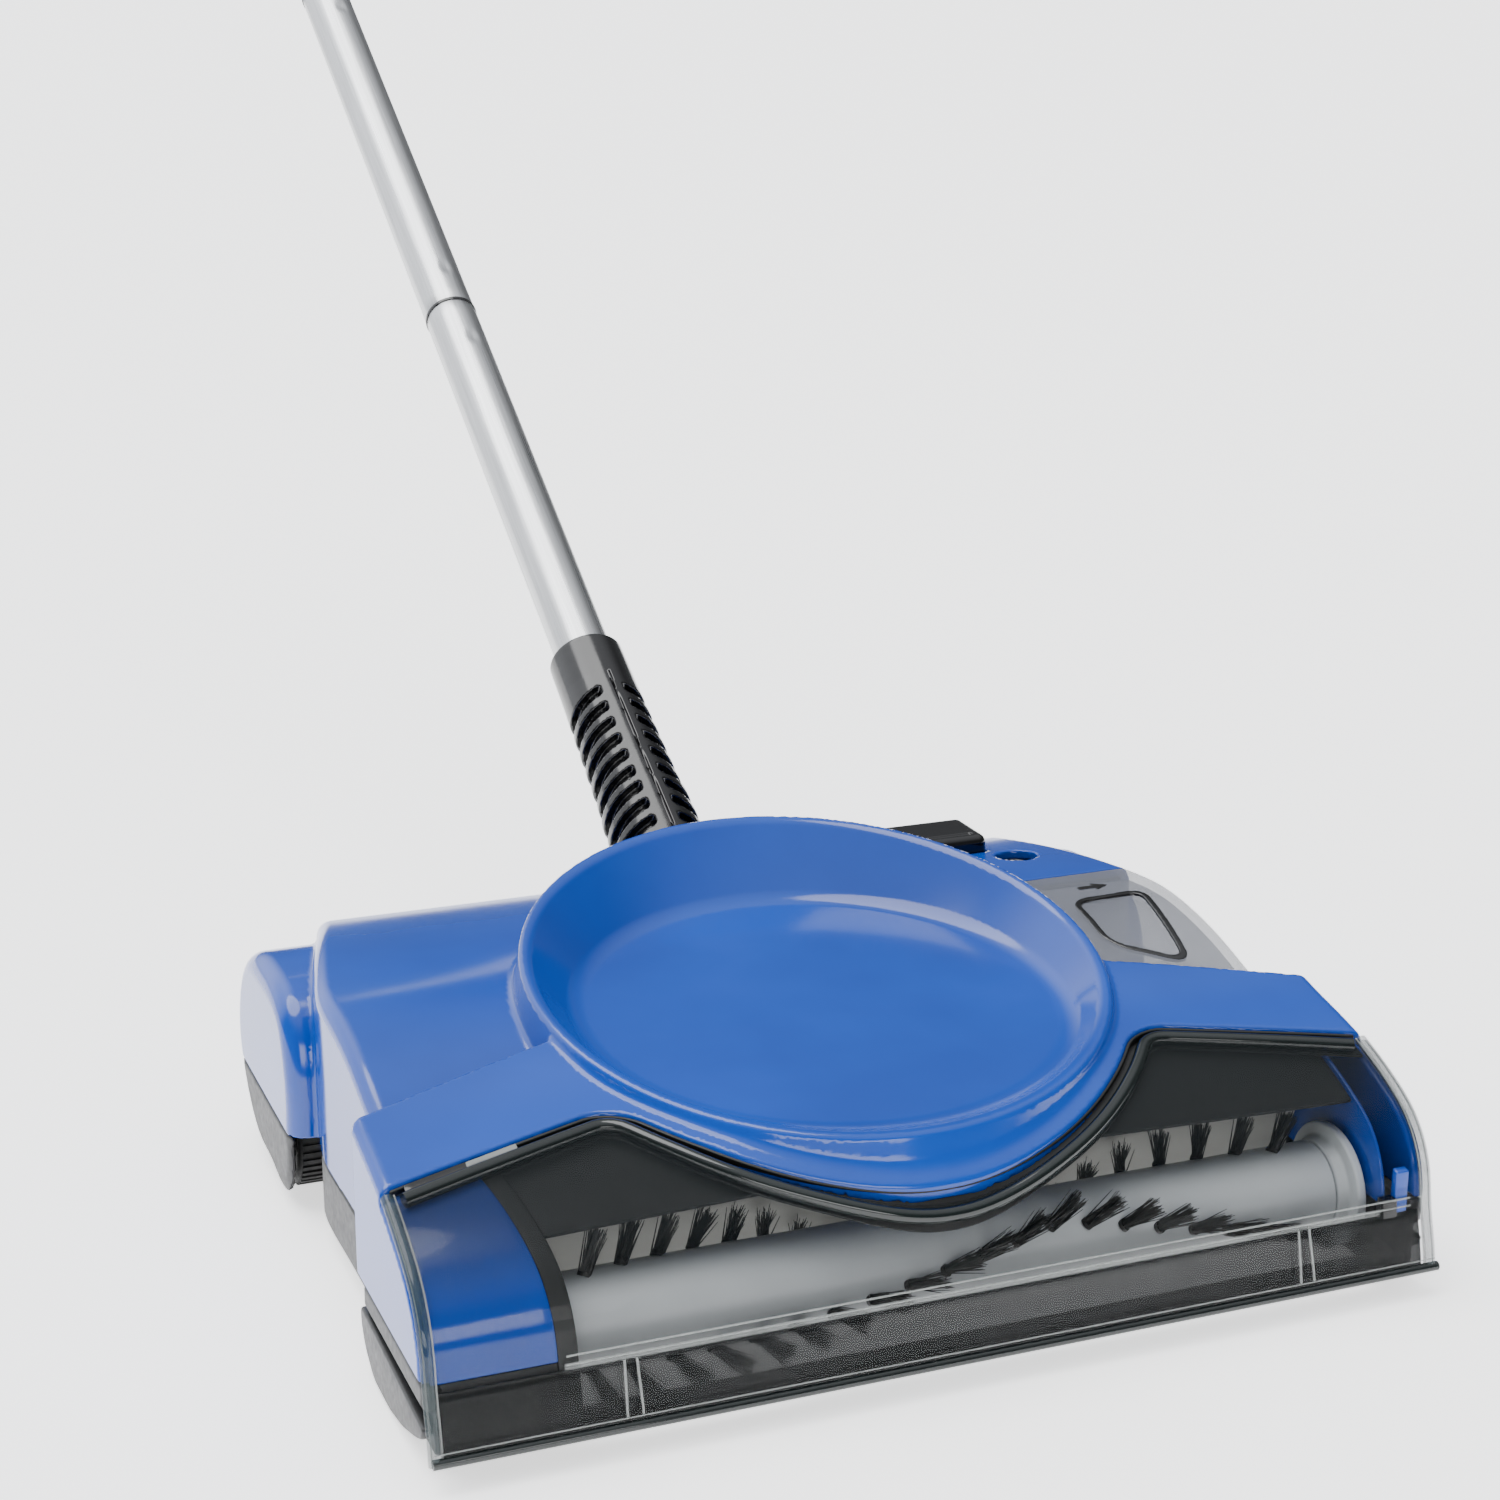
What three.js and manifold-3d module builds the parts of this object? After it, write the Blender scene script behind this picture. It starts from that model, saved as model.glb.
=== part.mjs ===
// Cordless carpet sweeper: floor head with brush roll, dust cup and battery drive, and a three-tube handle.
// Millimetres, +Z up, +Y to the rear, +X to the right. The floor is z = 0.
import * as THREE from 'three';
import { mergeVertices } from 'three/addons/utils/BufferGeometryUtils.js';
import Module from 'manifold-3d';

const wasm = await Module();
wasm.setup();

// Driving dimensions
const gap = 0.3;                    // clearance between separate pieces
const wall = 2.5;                   // moulded wall thickness
const halfWidth = 159;              // front section, half its width
const bodyHalf = 150.5;             // rear body, half its width
const blockHalf = 157;              // rear corner blocks, outer face
const seamZ = 28.5;                 // parting plane between hood and base
const floorUnder = 6;               // underside of the base
const floorTop = floorUnder + wall;
const crownRate = 0.034;            // rise of the front panel towards the middle, mm per mm
const dish = { y: 114.2, z: 90.8, r: 93.5, tilt: 12.4 };
const dishFloor = { y: 108, z: 77, r: 78.5, tilt: 6.7 };
const skirt = { y: 114, z: 63, r: 99, tilt: 6.6 };
const brush = { y: 33, z: 25.5, core: 14.3, tip: 25, flange: 19.5, left: -115.7, right: 134.7 };
const chevron = { apex: 40, end: 250, sweep: 110 };   // x of the point, end angle and turn in degrees
const motor = { y: 98, z: 33, r: 14, left: -124, right: -79 };
const brushPulley = 11;
const motorPulley = 5.5;
const pulleyLeft = -143;
const pulleyRight = -131;
const cup = { left: -40, right: 150.2, front: 86.5, back: 175.5, floor: 9, split: 57 };
const frontWheel = { y: 54, r: 15, inner: 145.5, outer: 152.2 };
const rearWheel = { y: 208, r: 20, inner: 137.5, outer: 152 };
const cell = { r: 11.25, length: 43 };
const pedal = { left: 66, right: 112, front: 218, back: 242, top: 88, bottom: 70 };
const socket = { x: 118, y: 207, r: 7.2, bore: 3.2, top: 79.5, bottom: 62 };
const pivot = { y: 226, z: 62.5, pin: 4 };
const reclineAngle = 31.4;          // handle above the floor plane at rest, degrees
const tube = { r: 11, wall: 0.8, section: 254, start: 96 };
const sleeve = { start: 24, end: 138.6, base: 16.5, top: 13.5 };
const grip = { length: 217, r: 15.5 };
const round = 32;                   // sides of a turned piece

// Materials
const finish = (color, roughness, metalness = 0, opacity = 1) => new THREE.MeshStandardMaterial({
  color, roughness, metalness, opacity, transparent: opacity < 1,
});
const blueGloss = finish('#1f63bd', 0.18);
const darkPlastic = finish('#3a3a3c', 0.5);
const blackPlastic = finish('#141416', 0.35);
const smokedClear = finish('#5a6668', 0.08, 0, 0.4);
const smokyCup = finish('#8d9096', 0.15, 0, 0.55);
const paleCore = finish('#c9cccf', 0.45);
const bristle = finish('#121212', 0.8);
const satinAluminium = finish('#b9bbbd', 0.35, 1);
const steel = finish('#9a9a9c', 0.3, 1);
const blackRubber = finish('#1a1a1a', 0.85);
const cellSleeve = finish('#2f8a4a', 0.4);
const boardGreen = finish('#1f5a34', 0.6);

// Solids
function solidOf(geometry) {
  const bare = geometry.index ? geometry.toNonIndexed() : geometry.clone();
  bare.deleteAttribute('normal');
  bare.deleteAttribute('uv');
  const merged = mergeVertices(bare, 1e-4);
  const points = merged.attributes.position.array;
  const corners = merged.index.array;
  const kept = [];
  let volume = 0;
  for (let i = 0; i < corners.length; i += 3) {
    const [a, b, c] = [corners[i], corners[i + 1], corners[i + 2]];
    if (a === b || b === c || c === a) continue;
    kept.push(a, b, c);
    const [pa, pb, pc] = [a, b, c].map((k) => new THREE.Vector3().fromArray(points, 3 * k));
    volume += pa.dot(pb.cross(pc));
  }
  if (volume < 0) kept.reverse();
  return new wasm.Manifold(new wasm.Mesh({
    numProp: 3, vertProperties: new Float32Array(points), triVerts: new Uint32Array(kept),
  }));
}

function geometryOf(solid) {
  const mesh = solid.getMesh();
  const geometry = new THREE.BufferGeometry();
  const points = new Float32Array(mesh.numVert * 3);
  for (let i = 0; i < mesh.numVert; i += 1) {
    for (let k = 0; k < 3; k += 1) points[3 * i + k] = mesh.vertProperties[i * mesh.numProp + k];
  }
  geometry.setAttribute('position', new THREE.BufferAttribute(points, 3));
  geometry.setIndex(new THREE.BufferAttribute(new Uint32Array(mesh.triVerts), 1));
  geometry.computeVertexNormals();
  return geometry;
}

const union = (...solids) => solids.reduce((a, b) => a.add(b));
const mainBody = (solid) => solid.decompose().reduce((a, b) => (a.volume() > b.volume() ? a : b));
const withoutSlivers = (solid) => mainBody(mainBody(solid).simplify(0.02));

const outline = (points) => new THREE.Shape(points.map(([a, b]) => new THREE.Vector2(a, b)));

// A (y, z) outline carried from x0 to x1; the optional shaping moves each point.
function alongX(points, x0, x1, shaping = null, steps = 1) {
  const geometry = new THREE.ExtrudeGeometry(outline(points), { depth: x1 - x0, bevelEnabled: false, steps });
  geometry.applyMatrix4(new THREE.Matrix4().set(0, 0, 1, x0, 1, 0, 0, 0, 0, 1, 0, 0, 0, 0, 0, 1));
  if (shaping) {
    const place = geometry.attributes.position;
    for (let i = 0; i < place.count; i += 1) {
      const moved = shaping(new THREE.Vector3().fromBufferAttribute(place, i));
      place.setXYZ(i, moved.x, moved.y, moved.z);
    }
  }
  return solidOf(geometry);
}

function alongZ(points, z0, z1) {
  const geometry = new THREE.ExtrudeGeometry(outline(points), { depth: z1 - z0, bevelEnabled: false });
  geometry.translate(0, 0, z0);
  return solidOf(geometry);
}

function block(x0, x1, y0, y1, z0, z1) {
  const geometry = new THREE.BoxGeometry(x1 - x0, y1 - y0, z1 - z0);
  geometry.translate((x0 + x1) / 2, (y0 + y1) / 2, (z0 + z1) / 2);
  return solidOf(geometry);
}

// A profile of (radius, height) turned about +Z.
function turned(profile, sides = round) {
  const geometry = new THREE.LatheGeometry(profile.map(([r, h]) => new THREE.Vector2(r, h)), sides);
  geometry.rotateX(Math.PI / 2);
  return geometry;
}

const rod = (r, h0, h1, sides = round) => turned([[0, h0], [r, h0], [r, h1], [0, h1]], sides);
const pipe = (rOut, rIn, h0, h1, sides = round) =>
  turned([[rIn, h0], [rOut, h0], [rOut, h1], [rIn, h1], [rIn, h0]], sides);
const layAlongX = (geometry, y, z) => geometry.rotateY(Math.PI / 2).translate(0, y, z);
const standAt = (geometry, x, y) => geometry.translate(x, y, 0);

// Tilted circles stacked from bottom to top, joined to one closed body.
function stackedRings(rings, sides = 48) {
  const geometry = new THREE.CylinderGeometry(1, 1, rings.length - 1, sides, rings.length - 1);
  const place = geometry.attributes.position;
  for (let i = 0; i < place.count; i += 1) {
    const ring = rings[Math.round(place.getY(i) + (rings.length - 1) / 2)];
    const lean = THREE.MathUtils.degToRad(ring.tilt);
    const [across, back] = [place.getX(i) * ring.r, -place.getZ(i) * ring.r];
    place.setXYZ(i, across, ring.y + back * Math.cos(lean), ring.z + back * Math.sin(lean));
  }
  return solidOf(geometry);
}

const grown = (ring, by, lift = 0) => ({ ...ring, r: ring.r + by, z: ring.z + lift });

// An open (y, z) line moved to its lower or rear side by a distance.
function inset(line, by) {
  return line.map((point, i) => {
    const before = line[Math.max(i - 1, 0)];
    const after = line[Math.min(i + 1, line.length - 1)];
    const [dy, dz] = [after[0] - before[0], after[1] - before[1]];
    const length = Math.hypot(dy, dz);
    return [point[0] + (by * dz) / length, point[1] - (by * dy) / length];
  });
}

// Outer surfaces
const frontLine = [[0, 13.2], [2.2, 15.8], [3.7, 28.6], [5.3, 37.9], [8.8, 46.4], [14.8, 53.8],
  [25.1, 60.4], [36.5, 65.5], [46.6, 69], [79.5, 77], [104, 82.8]];
const barrelLine = [[62, 62], [85, 70], [99, 74], [113, 79], [130, 83], [157, 85], [180, 84.6],
  [200, 83.5], [216, 82], [231, 79.5], [245, 75.5], [255, 69], [260, 60], [261, 48]];
const blockLine = [[180, 10], [176, 28], [174, 44], [177, 57], [184, 70], [195, 73.5], [211, 74.5],
  [230, 74], [242, 70], [251, 62], [258, 50], [260.8, 36], [257.8, 27], [247, 12.5], [229, 3.6],
  [208, 2.2], [187, 3.2]];
const frontPlan = [[0, -5], [halfWidth, -5], [halfWidth, 74], [156.5, 79.5], [94, 98], [0, 98]];
const rearPlan = [[0, 60], [bodyHalf, 60], [bodyHalf, 159], [146.8, 179], [142, 200], [134, 231],
  [127, 270], [0, 270]];
const windowPlan = [[0, -9], [halfWidth + 9, -9], [halfWidth + 9, 45], [81, 64], [60, 75], [0, 75]];

const mirrored = (half) => [...half, ...half.slice().reverse().map(([x, y]) => [-x, y])];
const closedBelow = (line, z) => [...line, [line.at(-1)[0], z], [line[0][0], z]];
const crowned = (p) => {
  const share = THREE.MathUtils.clamp((p.z - 40) / 30, 0, 1);
  return p.setZ(p.z + crownRate * (halfWidth - Math.abs(p.x)) * share);
};

const frontSolid = (depth, half) =>
  alongX(closedBelow(inset(frontLine, depth), depth ? 0 : 13.2), -half, half, crowned, 2);
const above = (solid, z) => solid.intersect(block(-200, 200, -20, 300, z, 140));
const barrelSolid = (depth, half) =>
  alongX(closedBelow(inset(barrelLine, depth), 4), -half, half);
const planSolid = (half, inward, z0, z1) =>
  alongZ(mirrored(half.map(([x, y]) => [Math.max(x - inward, 0), y > 70 ? y - inward : y])), z0, z1);
const dishSkirt = (by) => stackedRings([grown(skirt, by), grown(dish, by)]);
const bothSides = (make) => union(make(1), make(-1));
const span = (side, a, b) => (side > 0 ? [a, b] : [-b, -a]);
const cornerBlock = (side, inward) =>
  alongX(blockLine.map(([y, z]) => [218 + (y - 218) * (1 - inward / 40), 38 + (z - 38) * (1 - inward / 36)]),
    ...span(side, 124, blockHalf - inward));
// Plan of the dust cup behind the slanted ridge, drawn in by a distance.
const cupPlan = (by, right) => {
  const ridge = 83.3 - ((right - cup.right) * 16.9) / 55.2;
  return [[60, 100.2 + by], [95, 100.2 + by], [right, ridge + by], [right, cup.back - by], [60, cup.back - by]];
};

// Head shells
function makeHood() {
  const outer = union(
    frontSolid(0, halfWidth).intersect(planSolid(frontPlan, 0, seamZ, 130)),
    barrelSolid(0, 152).intersect(planSolid(rearPlan, 0, seamZ, 130)),
    above(bothSides((side) => cornerBlock(side, 0)), seamZ),
  );
  const inner = union(
    frontSolid(wall, halfWidth - wall).intersect(planSolid(frontPlan, wall, 0, 130)),
    barrelSolid(wall, 152).intersect(planSolid(rearPlan, wall, 0, 130)),
    bothSides((side) => cornerBlock(side, wall)),
  );
  const windowSlot = alongZ(mirrored(windowPlan), 0, 140)
    .subtract(frontSolid(wall + gap, 190).add(block(-190, 190, 100, 120, 0, 130)));
  const skirtShell = dishSkirt(0).subtract(stackedRings([grown(skirt, -wall, -1), grown(dish, -3.3, -3.1)]));
  const pan = stackedRings([grown(dishFloor, 2, -3), grown(dish, -0.7, -1.3)]);
  const bowl = stackedRings([dishFloor, grown(dish, -1.6, 5)]);
  const cupOpening = alongZ(cupPlan(-0.5, 170), 0, 130)
    .subtract(stackedRings([grown(skirt, -0.5, -60), grown(skirt, -0.5), grown(dish, -0.5)]));
  return withoutSlivers(outer.subtract(inner).subtract(dishSkirt(-0.5)).subtract(windowSlot).subtract(cupOpening)
    .add(skirtShell).add(pan).subtract(bowl)
    .subtract(block(-19, 19, 207.5, 275, 45, 104))
    .subtract(block(pedal.left - 0.5, pedal.right + 0.5, pedal.front - 0.5, pedal.back + 0.5, 60, 95))
    .subtract(solidOf(standAt(rod(socket.r + 0.4, 60, 95), socket.x, socket.y))));
}

function makeWindow() {
  const sheet = frontSolid(0, halfWidth - gap).subtract(frontSolid(wall, 190));
  const area = mirrored(windowPlan.map(([x, y]) => [x, y > 0 ? y - 0.4 : y]));
  const kept = stackedRings([grown(skirt, 0.6, -60), grown(skirt, 0.6), grown(dish, 0.6)]);
  return sheet.intersect(alongZ(area, 0, 140)).subtract(kept);
}

function makeBase() {
  const rearBody = barrelSolid(0, 152).intersect(planSolid(rearPlan, 0, floorUnder, seamZ - gap));
  const front = block(-halfWidth + gap, halfWidth - gap, 6.8, 74, floorUnder, seamZ - gap);
  const bar = block(-151, 151, 4.2, 9, 8.5, 12.7);
  const blocks = bothSides((side) => cornerBlock(side, 0)).intersect(block(-200, 200, 0, 300, 0, seamZ - gap));
  const rearHollow = planSolid(rearPlan, wall, floorTop, 40).intersect(block(-134, 134, 68, 255, 0, 50));
  const sideHollow = block(-148, 148, 80, 170, floorTop, 40).add(block(-143, 143, 68, 90, floorTop, 40));
  const chamber = block(-129, 143, 9, 62, -5, 40).add(block(-151, 151, 2, 20, 12.7, 40));
  let base = union(rearBody, front, bar, blocks).subtract(union(rearHollow, sideHollow, chamber));
  base = base.subtract(block(-153, -129, 6, 62, floorTop, 40)).subtract(block(143, 153, 6, 62, floorTop, 40));
  for (const side of [1, -1]) {
    base = base.subtract(block(...span(side, 144.8, 153), 38.5, 71, -5, 40));
    base = base.subtract(block(...span(side, 155.4, 170), 5, 77.5, -5, 20.4));
    base = base.subtract(block(...span(side, 136.8, 154.5), 165, 231, -5, 50));
  }
  base = base.subtract(block(130, 170, cup.front - 0.5, cup.back + 0.5, floorTop, 60));
  base = base.subtract(block(-30, 128, 60, 70, 14, 40));
  base = base.subtract(block(-143.5, -117, 50, 74, 12, 40));
  for (const [x, y] of screwPlaces) base = base.subtract(solidOf(standAt(rod(2, 0, 12, 16), x, y)));
  return base;
}

const screwPlaces = [[-110, 206], [110, 206], [-60, 74], [60, 74]];

// D-shaped cover over a front wheel.
function makeCornerSkirt(side) {
  const line = [[6.8, 15.4], [76.5, 19.6], [74, 10], [63, 1.6], [45, 1.6], [22, 6.5], [10, 11]];
  return alongX(line, ...span(side, halfWidth - 3.2, halfWidth));
}

function makeBeltCover() {
  const panel = (depth, x0, x1) => alongX(closedBelow(inset(frontLine, depth), 0), x0, x1);
  const area = block(-155.9, -126, 0, 62, seamZ + gap, 70);
  return panel(3.2, -155.9, -126).subtract(panel(5.2, -153.9, -128)).intersect(area)
    .subtract(solidOf(layAlongX(rod(23, -130, -120), brush.y, brush.z)));
}

// Brush roll
function makeCore() {
  return layAlongX(pipe(brush.core, 3.6, brush.left, brush.right, round), brush.y, brush.z);
}

// Twin fins twisted along the core; the twist turns back at the apex, which gives the chevron.
function makeBristleStrip(endAngle) {
  const twist = (p) => {
    const reach = p.x < chevron.apex ? chevron.apex - brush.left : brush.right - chevron.apex;
    const share = 1 - Math.abs(p.x - chevron.apex) / reach;
    const turn = THREE.MathUtils.degToRad(endAngle - chevron.sweep * share);
    const [c, s] = [Math.cos(turn), Math.sin(turn)];
    return p.set(p.x, brush.y + p.y * c - p.z * s, brush.z + p.y * s + p.z * c);
  };
  const section = [[brush.core + 0.4, -2], [brush.tip, -1.4], [brush.tip, 1.4], [brush.core + 0.4, 2]];
  return alongX(section, brush.left + 8, brush.right - 8, twist, 24);
}

function makeBelt() {
  const loop = (grow) => {
    const shape = [];
    const lean = Math.atan2(motor.z - brush.z, motor.y - brush.y);
    const side = Math.acos((brushPulley - motorPulley) / Math.hypot(motor.y - brush.y, motor.z - brush.z));
    for (let i = 0; i <= 10; i += 1) {
      const a = lean + side + ((2 * Math.PI - 2 * side) * i) / 10;
      shape.push([brush.y + (brushPulley + grow) * Math.cos(a), brush.z + (brushPulley + grow) * Math.sin(a)]);
    }
    for (let i = 0; i <= 8; i += 1) {
      const a = lean - side + (2 * side * i) / 8;
      shape.push([motor.y + (motorPulley + grow) * Math.cos(a), motor.z + (motorPulley + grow) * Math.sin(a)]);
    }
    return shape;
  };
  return alongX(loop(2.2), pulleyLeft + 2, pulleyRight - 2)
    .subtract(alongX(loop(0.6), pulleyLeft, pulleyRight));
}

function makeBearingBlock(side) {
  const plate = block(...span(side, 144.8, 149.8), 20, 37.8, floorTop + gap, 40);
  return plate.subtract(solidOf(layAlongX(rod(5.6, ...span(side, 140, 155)), brush.y, brush.z)));
}

// Dust cup
function makeCup() {
  const outer = block(cup.left, cup.right, cup.front, cup.back, cup.floor, cup.split);
  const inner = block(cup.left + wall, cup.right - wall, cup.front + wall, cup.back - wall, cup.floor + wall, 70);
  const mouth = block(-28, 126, cup.front - 5, cup.front + 5, 22, cup.split - 6);
  return outer.subtract(inner).subtract(mouth);
}

function makeCupCover() {
  const room = (by) => alongZ(cupPlan(by, cup.right - by), by ? 0 : cup.split + gap, 130);
  const keptOut = (by) => stackedRings([grown(skirt, by, -60), grown(skirt, by), grown(dish, by)]);
  const outer = barrelSolid(0, 152).intersect(room(0)).subtract(keptOut(0.6));
  const inner = barrelSolid(2.2, 152).intersect(room(2.2)).subtract(keptOut(2.8));
  return outer.subtract(inner);
}

// Handle, built upright about its pivot
function makeYoke() {
  const hub = solidOf(rod(12.5, -16.5, 16.5).rotateY(Math.PI / 2));
  const neck = solidOf(rod(9.6, 0, 92));
  return hub.add(neck).subtract(solidOf(rod(pivot.pin + 0.4, -20, 20).rotateY(Math.PI / 2)));
}

function makeSleeve() {
  const bore = 10;
  const profile = [[bore, sleeve.start], [sleeve.base, sleeve.start]];
  const ribs = 10;
  const pitch = 8.6;
  const taper = (h) => THREE.MathUtils.mapLinear(h, sleeve.start, sleeve.end, sleeve.base, sleeve.top);
  for (let i = 0; i < ribs; i += 1) {
    const h = sleeve.start + 4 + i * pitch;
    profile.push([taper(h), h], [taper(h) - 2, h + 1.2], [taper(h) - 2, h + 4], [taper(h), h + 5.2]);
  }
  profile.push([sleeve.top, 122], [sleeve.top, sleeve.end], [tube.r + gap, sleeve.end], [tube.r + gap, 95]);
  profile.push([bore, 95], [bore, sleeve.start]);
  return turned(profile, 20);
}

function makeGrip(start) {
  const stations = [[0, 12.6], [0.04, 14], [0.3, 15.5], [0.55, 14.4], [0.8, 15.5], [1, 15]];
  const skin = stations.map(([share, r]) => [r, start + share * grip.length]);
  return turned([[tube.r + gap, start], ...skin, [tube.r + gap, start + grip.length], [tube.r + gap, start]], 24);
}

// Power parts and wheels
function makeSpring() {
  const turns = 5;
  const points = [];
  for (let i = 0; i <= turns * 10; i += 1) {
    const a = (i / 10) * 2 * Math.PI;
    points.push(new THREE.Vector3(5 * Math.cos(a), 5 * Math.sin(a), 39.8 + (i * 28.8) / (turns * 10)));
  }
  const wire = new THREE.Shape().absarc(0, 0, 0.7, 0, 2 * Math.PI);
  return new THREE.ExtrudeGeometry(wire, {
    extrudePath: new THREE.CatmullRomCurve3(points), steps: turns * 10, curveSegments: 3, bevelEnabled: false,
  });
}

function makeWheel(wheel, side) {
  const [x0, x1] = span(side, wheel.inner, wheel.outer);
  const tread = [[2.9, x0], [wheel.r - 1, x0], [wheel.r, x0 + 1], [wheel.r, x1 - 1], [wheel.r - 1, x1]];
  return layAlongX(turned([...tread, [2.9, x1], [2.9, x0]]), wheel.y, wheel.r);
}

// Assembly
const sweeper = new THREE.Group();
const head = new THREE.Group();
const handle = new THREE.Group();
handle.position.set(0, pivot.y, pivot.z);
handle.rotation.x = -THREE.MathUtils.degToRad(90 - reclineAngle);
head.add(handle);
sweeper.add(head);

function add(parent, name, shape, material) {
  const geometry = shape.isBufferGeometry ? geometryOf(solidOf(shape)) : geometryOf(shape);
  const mesh = new THREE.Mesh(geometry, material);
  mesh.name = name;
  parent.add(mesh);
  return mesh;
}

add(head, 'hood', makeHood(), blueGloss);
add(head, 'base_tray', makeBase(), darkPlastic);
add(head, 'front_window', makeWindow(), smokedClear);
add(head, 'belt_cover', makeBeltCover(), blueGloss);

for (const [side, word] of [[-1, 'left'], [1, 'right']]) {
  add(head, `corner_skirt_${word}`, makeCornerSkirt(side), darkPlastic);
  add(head, `bearing_block_${word}`, makeBearingBlock(side), darkPlastic);
  const bush = layAlongX(pipe(5.2, 3.4, ...span(side, 145.5, 149.2)), brush.y, brush.z);
  add(head, `brush_bush_${word}`, bush, steel);
  add(head, `front_wheel_${word}`, makeWheel(frontWheel, side), blackRubber);
  const frontPin = rod(2.3, ...span(side, 145.1, 152.7), 16);
  add(head, `front_axle_${word}`, layAlongX(frontPin, frontWheel.y, frontWheel.r), steel);
  add(head, `rear_wheel_${word}`, makeWheel(rearWheel, side), blackRubber);
  const rearPin = rod(2.3, ...span(side, 137.1, 154.2), 16);
  add(head, `rear_axle_${word}`, layAlongX(rearPin, rearWheel.y, rearWheel.r), steel);
  const cradle = block(...span(side, 20.5, 25), 214, 238, floorTop + gap, 74);
  const cradleBore = solidOf(layAlongX(rod(pivot.pin + 0.4, ...span(side, 15, 30)), pivot.y, pivot.z));
  add(head, `handle_cradle_${word}`, cradle.subtract(cradleBore), darkPlastic);
}
add(head, 'pivot_pin', layAlongX(rod(pivot.pin, -27, 27), pivot.y, pivot.z), steel);

add(head, 'brush_core', makeCore(), paleCore);
add(head, 'bristle_strip_a', makeBristleStrip(chevron.end), bristle);
add(head, 'bristle_strip_b', makeBristleStrip(chevron.end - 180), bristle);
const leftFlange = pipe(brush.flange, 3.6, brush.left - 6.3, brush.left - gap);
add(head, 'brush_flange_left', layAlongX(leftFlange, brush.y, brush.z), blackPlastic);
const rightFlange = pipe(brush.flange, 3.6, brush.right + gap, brush.right + 7.3);
add(head, 'brush_flange_right', layAlongX(rightFlange, brush.y, brush.z), paleCore);
const pulley = pipe(brushPulley, 3.6, pulleyLeft, pulleyRight);
add(head, 'brush_pulley', layAlongX(pulley, brush.y, brush.z), blackPlastic);
add(head, 'brush_axle', layAlongX(rod(3, -149, 149, 16), brush.y, brush.z), steel);

add(head, 'motor', layAlongX(rod(motor.r, motor.left, motor.right), motor.y, motor.z), steel);
const smallPulley = rod(motorPulley, pulleyLeft, pulleyRight, 24);
add(head, 'motor_pulley', layAlongX(smallPulley, motor.y, motor.z), blackPlastic);
add(head, 'drive_belt', makeBelt(), blackRubber);

const batteryTray = block(-133.5, -42, 119.3, 193.7, floorTop + gap, 18)
  .subtract(block(-131.5, -44, 121.3, 191.7, 10.8, 30));
add(head, 'battery_tray', batteryTray, darkPlastic);
for (let i = 0; i < 6; i += 1) {
  const [column, row] = [i % 2, Math.floor(i / 2)];
  const [x0, y] = [-131.2 + column * (cell.length + 0.5), 133 + row * 23.5];
  const can = layAlongX(rod(cell.r, x0, x0 + cell.length, 20), y, 11.1 + cell.r);
  add(head, `battery_cell_${i + 1}`, can, cellSleeve);
}
add(head, 'circuit_board', block(38, 126, 184, 246, 14, 15.6), boardGreen);
add(head, 'power_switch', block(80, 98, 221, 239, 16, 39), blackPlastic);
add(head, 'pedal_spring', makeSpring().translate(89, 230, 0), steel);
add(head, 'power_pedal', block(pedal.left, pedal.right, pedal.front, pedal.back, pedal.bottom, pedal.top),
  blackPlastic);
const jack = turned([[0, socket.bottom], [socket.r, socket.bottom], [socket.r, socket.top],
  [socket.bore, socket.top], [socket.bore, socket.bottom + 3], [0, socket.bottom + 3]], 24);
add(head, 'charge_jack', standAt(jack, socket.x, socket.y), blackPlastic);

const ramp = alongX([[68.4, 9.2], [85.6, 19], [85.6, 20.6], [83, 20.6], [68.4, 11.4]], -27, 125);
add(head, 'dirt_ramp', ramp, darkPlastic);
add(head, 'dust_cup_pan', makeCup(), smokyCup);
add(head, 'dust_cup_cover', makeCupCover(), smokyCup);

screwPlaces.forEach(([x, y], i) => {
  const screw = turned([[0, 3.2], [3.4, 3.2], [3.4, 5.7], [1.5, 5.7], [1.5, 11], [0, 11]], 16);
  add(head, `base_screw_${i + 1}`, standAt(screw, x, y), steel);
});

add(handle, 'handle_yoke', makeYoke(), blackPlastic);
add(handle, 'handle_sleeve', makeSleeve(), blackPlastic);
['lower_tube', 'middle_tube', 'upper_tube'].forEach((name, i) => {
  const start = tube.start + i * tube.section;
  add(handle, name, pipe(tube.r, tube.r - tube.wall, start + gap / 2, start + tube.section - gap / 2), satinAluminium);
  if (i > 0) {
    const joiner = pipe(tube.r - tube.wall - gap, 8.4, start - 30, start + 30, 24);
    add(handle, `tube_joiner_${i}`, joiner, blackPlastic);
  }
});
const tubeTop = tube.start + 3 * tube.section;
add(handle, 'grip_body', makeGrip(tubeTop - 24), blackRubber);
const capStart = tubeTop - 24 + grip.length + gap;
add(handle, 'grip_cap', turned([[0, capStart], [15, capStart], [14.5, capStart + 6], [10, capStart + 9],
  [0, capStart + 9]], 24), blackPlastic);

// Centre the whole model over the origin, standing on z = 0.
sweeper.updateMatrixWorld(true);
const extent = new THREE.Box3().setFromObject(sweeper, true);
head.position.y = -(extent.min.y + extent.max.y) / 2;

export default sweeper;
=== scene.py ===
# Cordless carpet sweeper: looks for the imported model. Lengths are millimetres in the head's own frame
# (x from the middle, y from the front lip, z from the floor) until a mesh is made.
import math
import bmesh
import bpy
import numpy as np
from mathutils import Matrix, Vector


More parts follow.
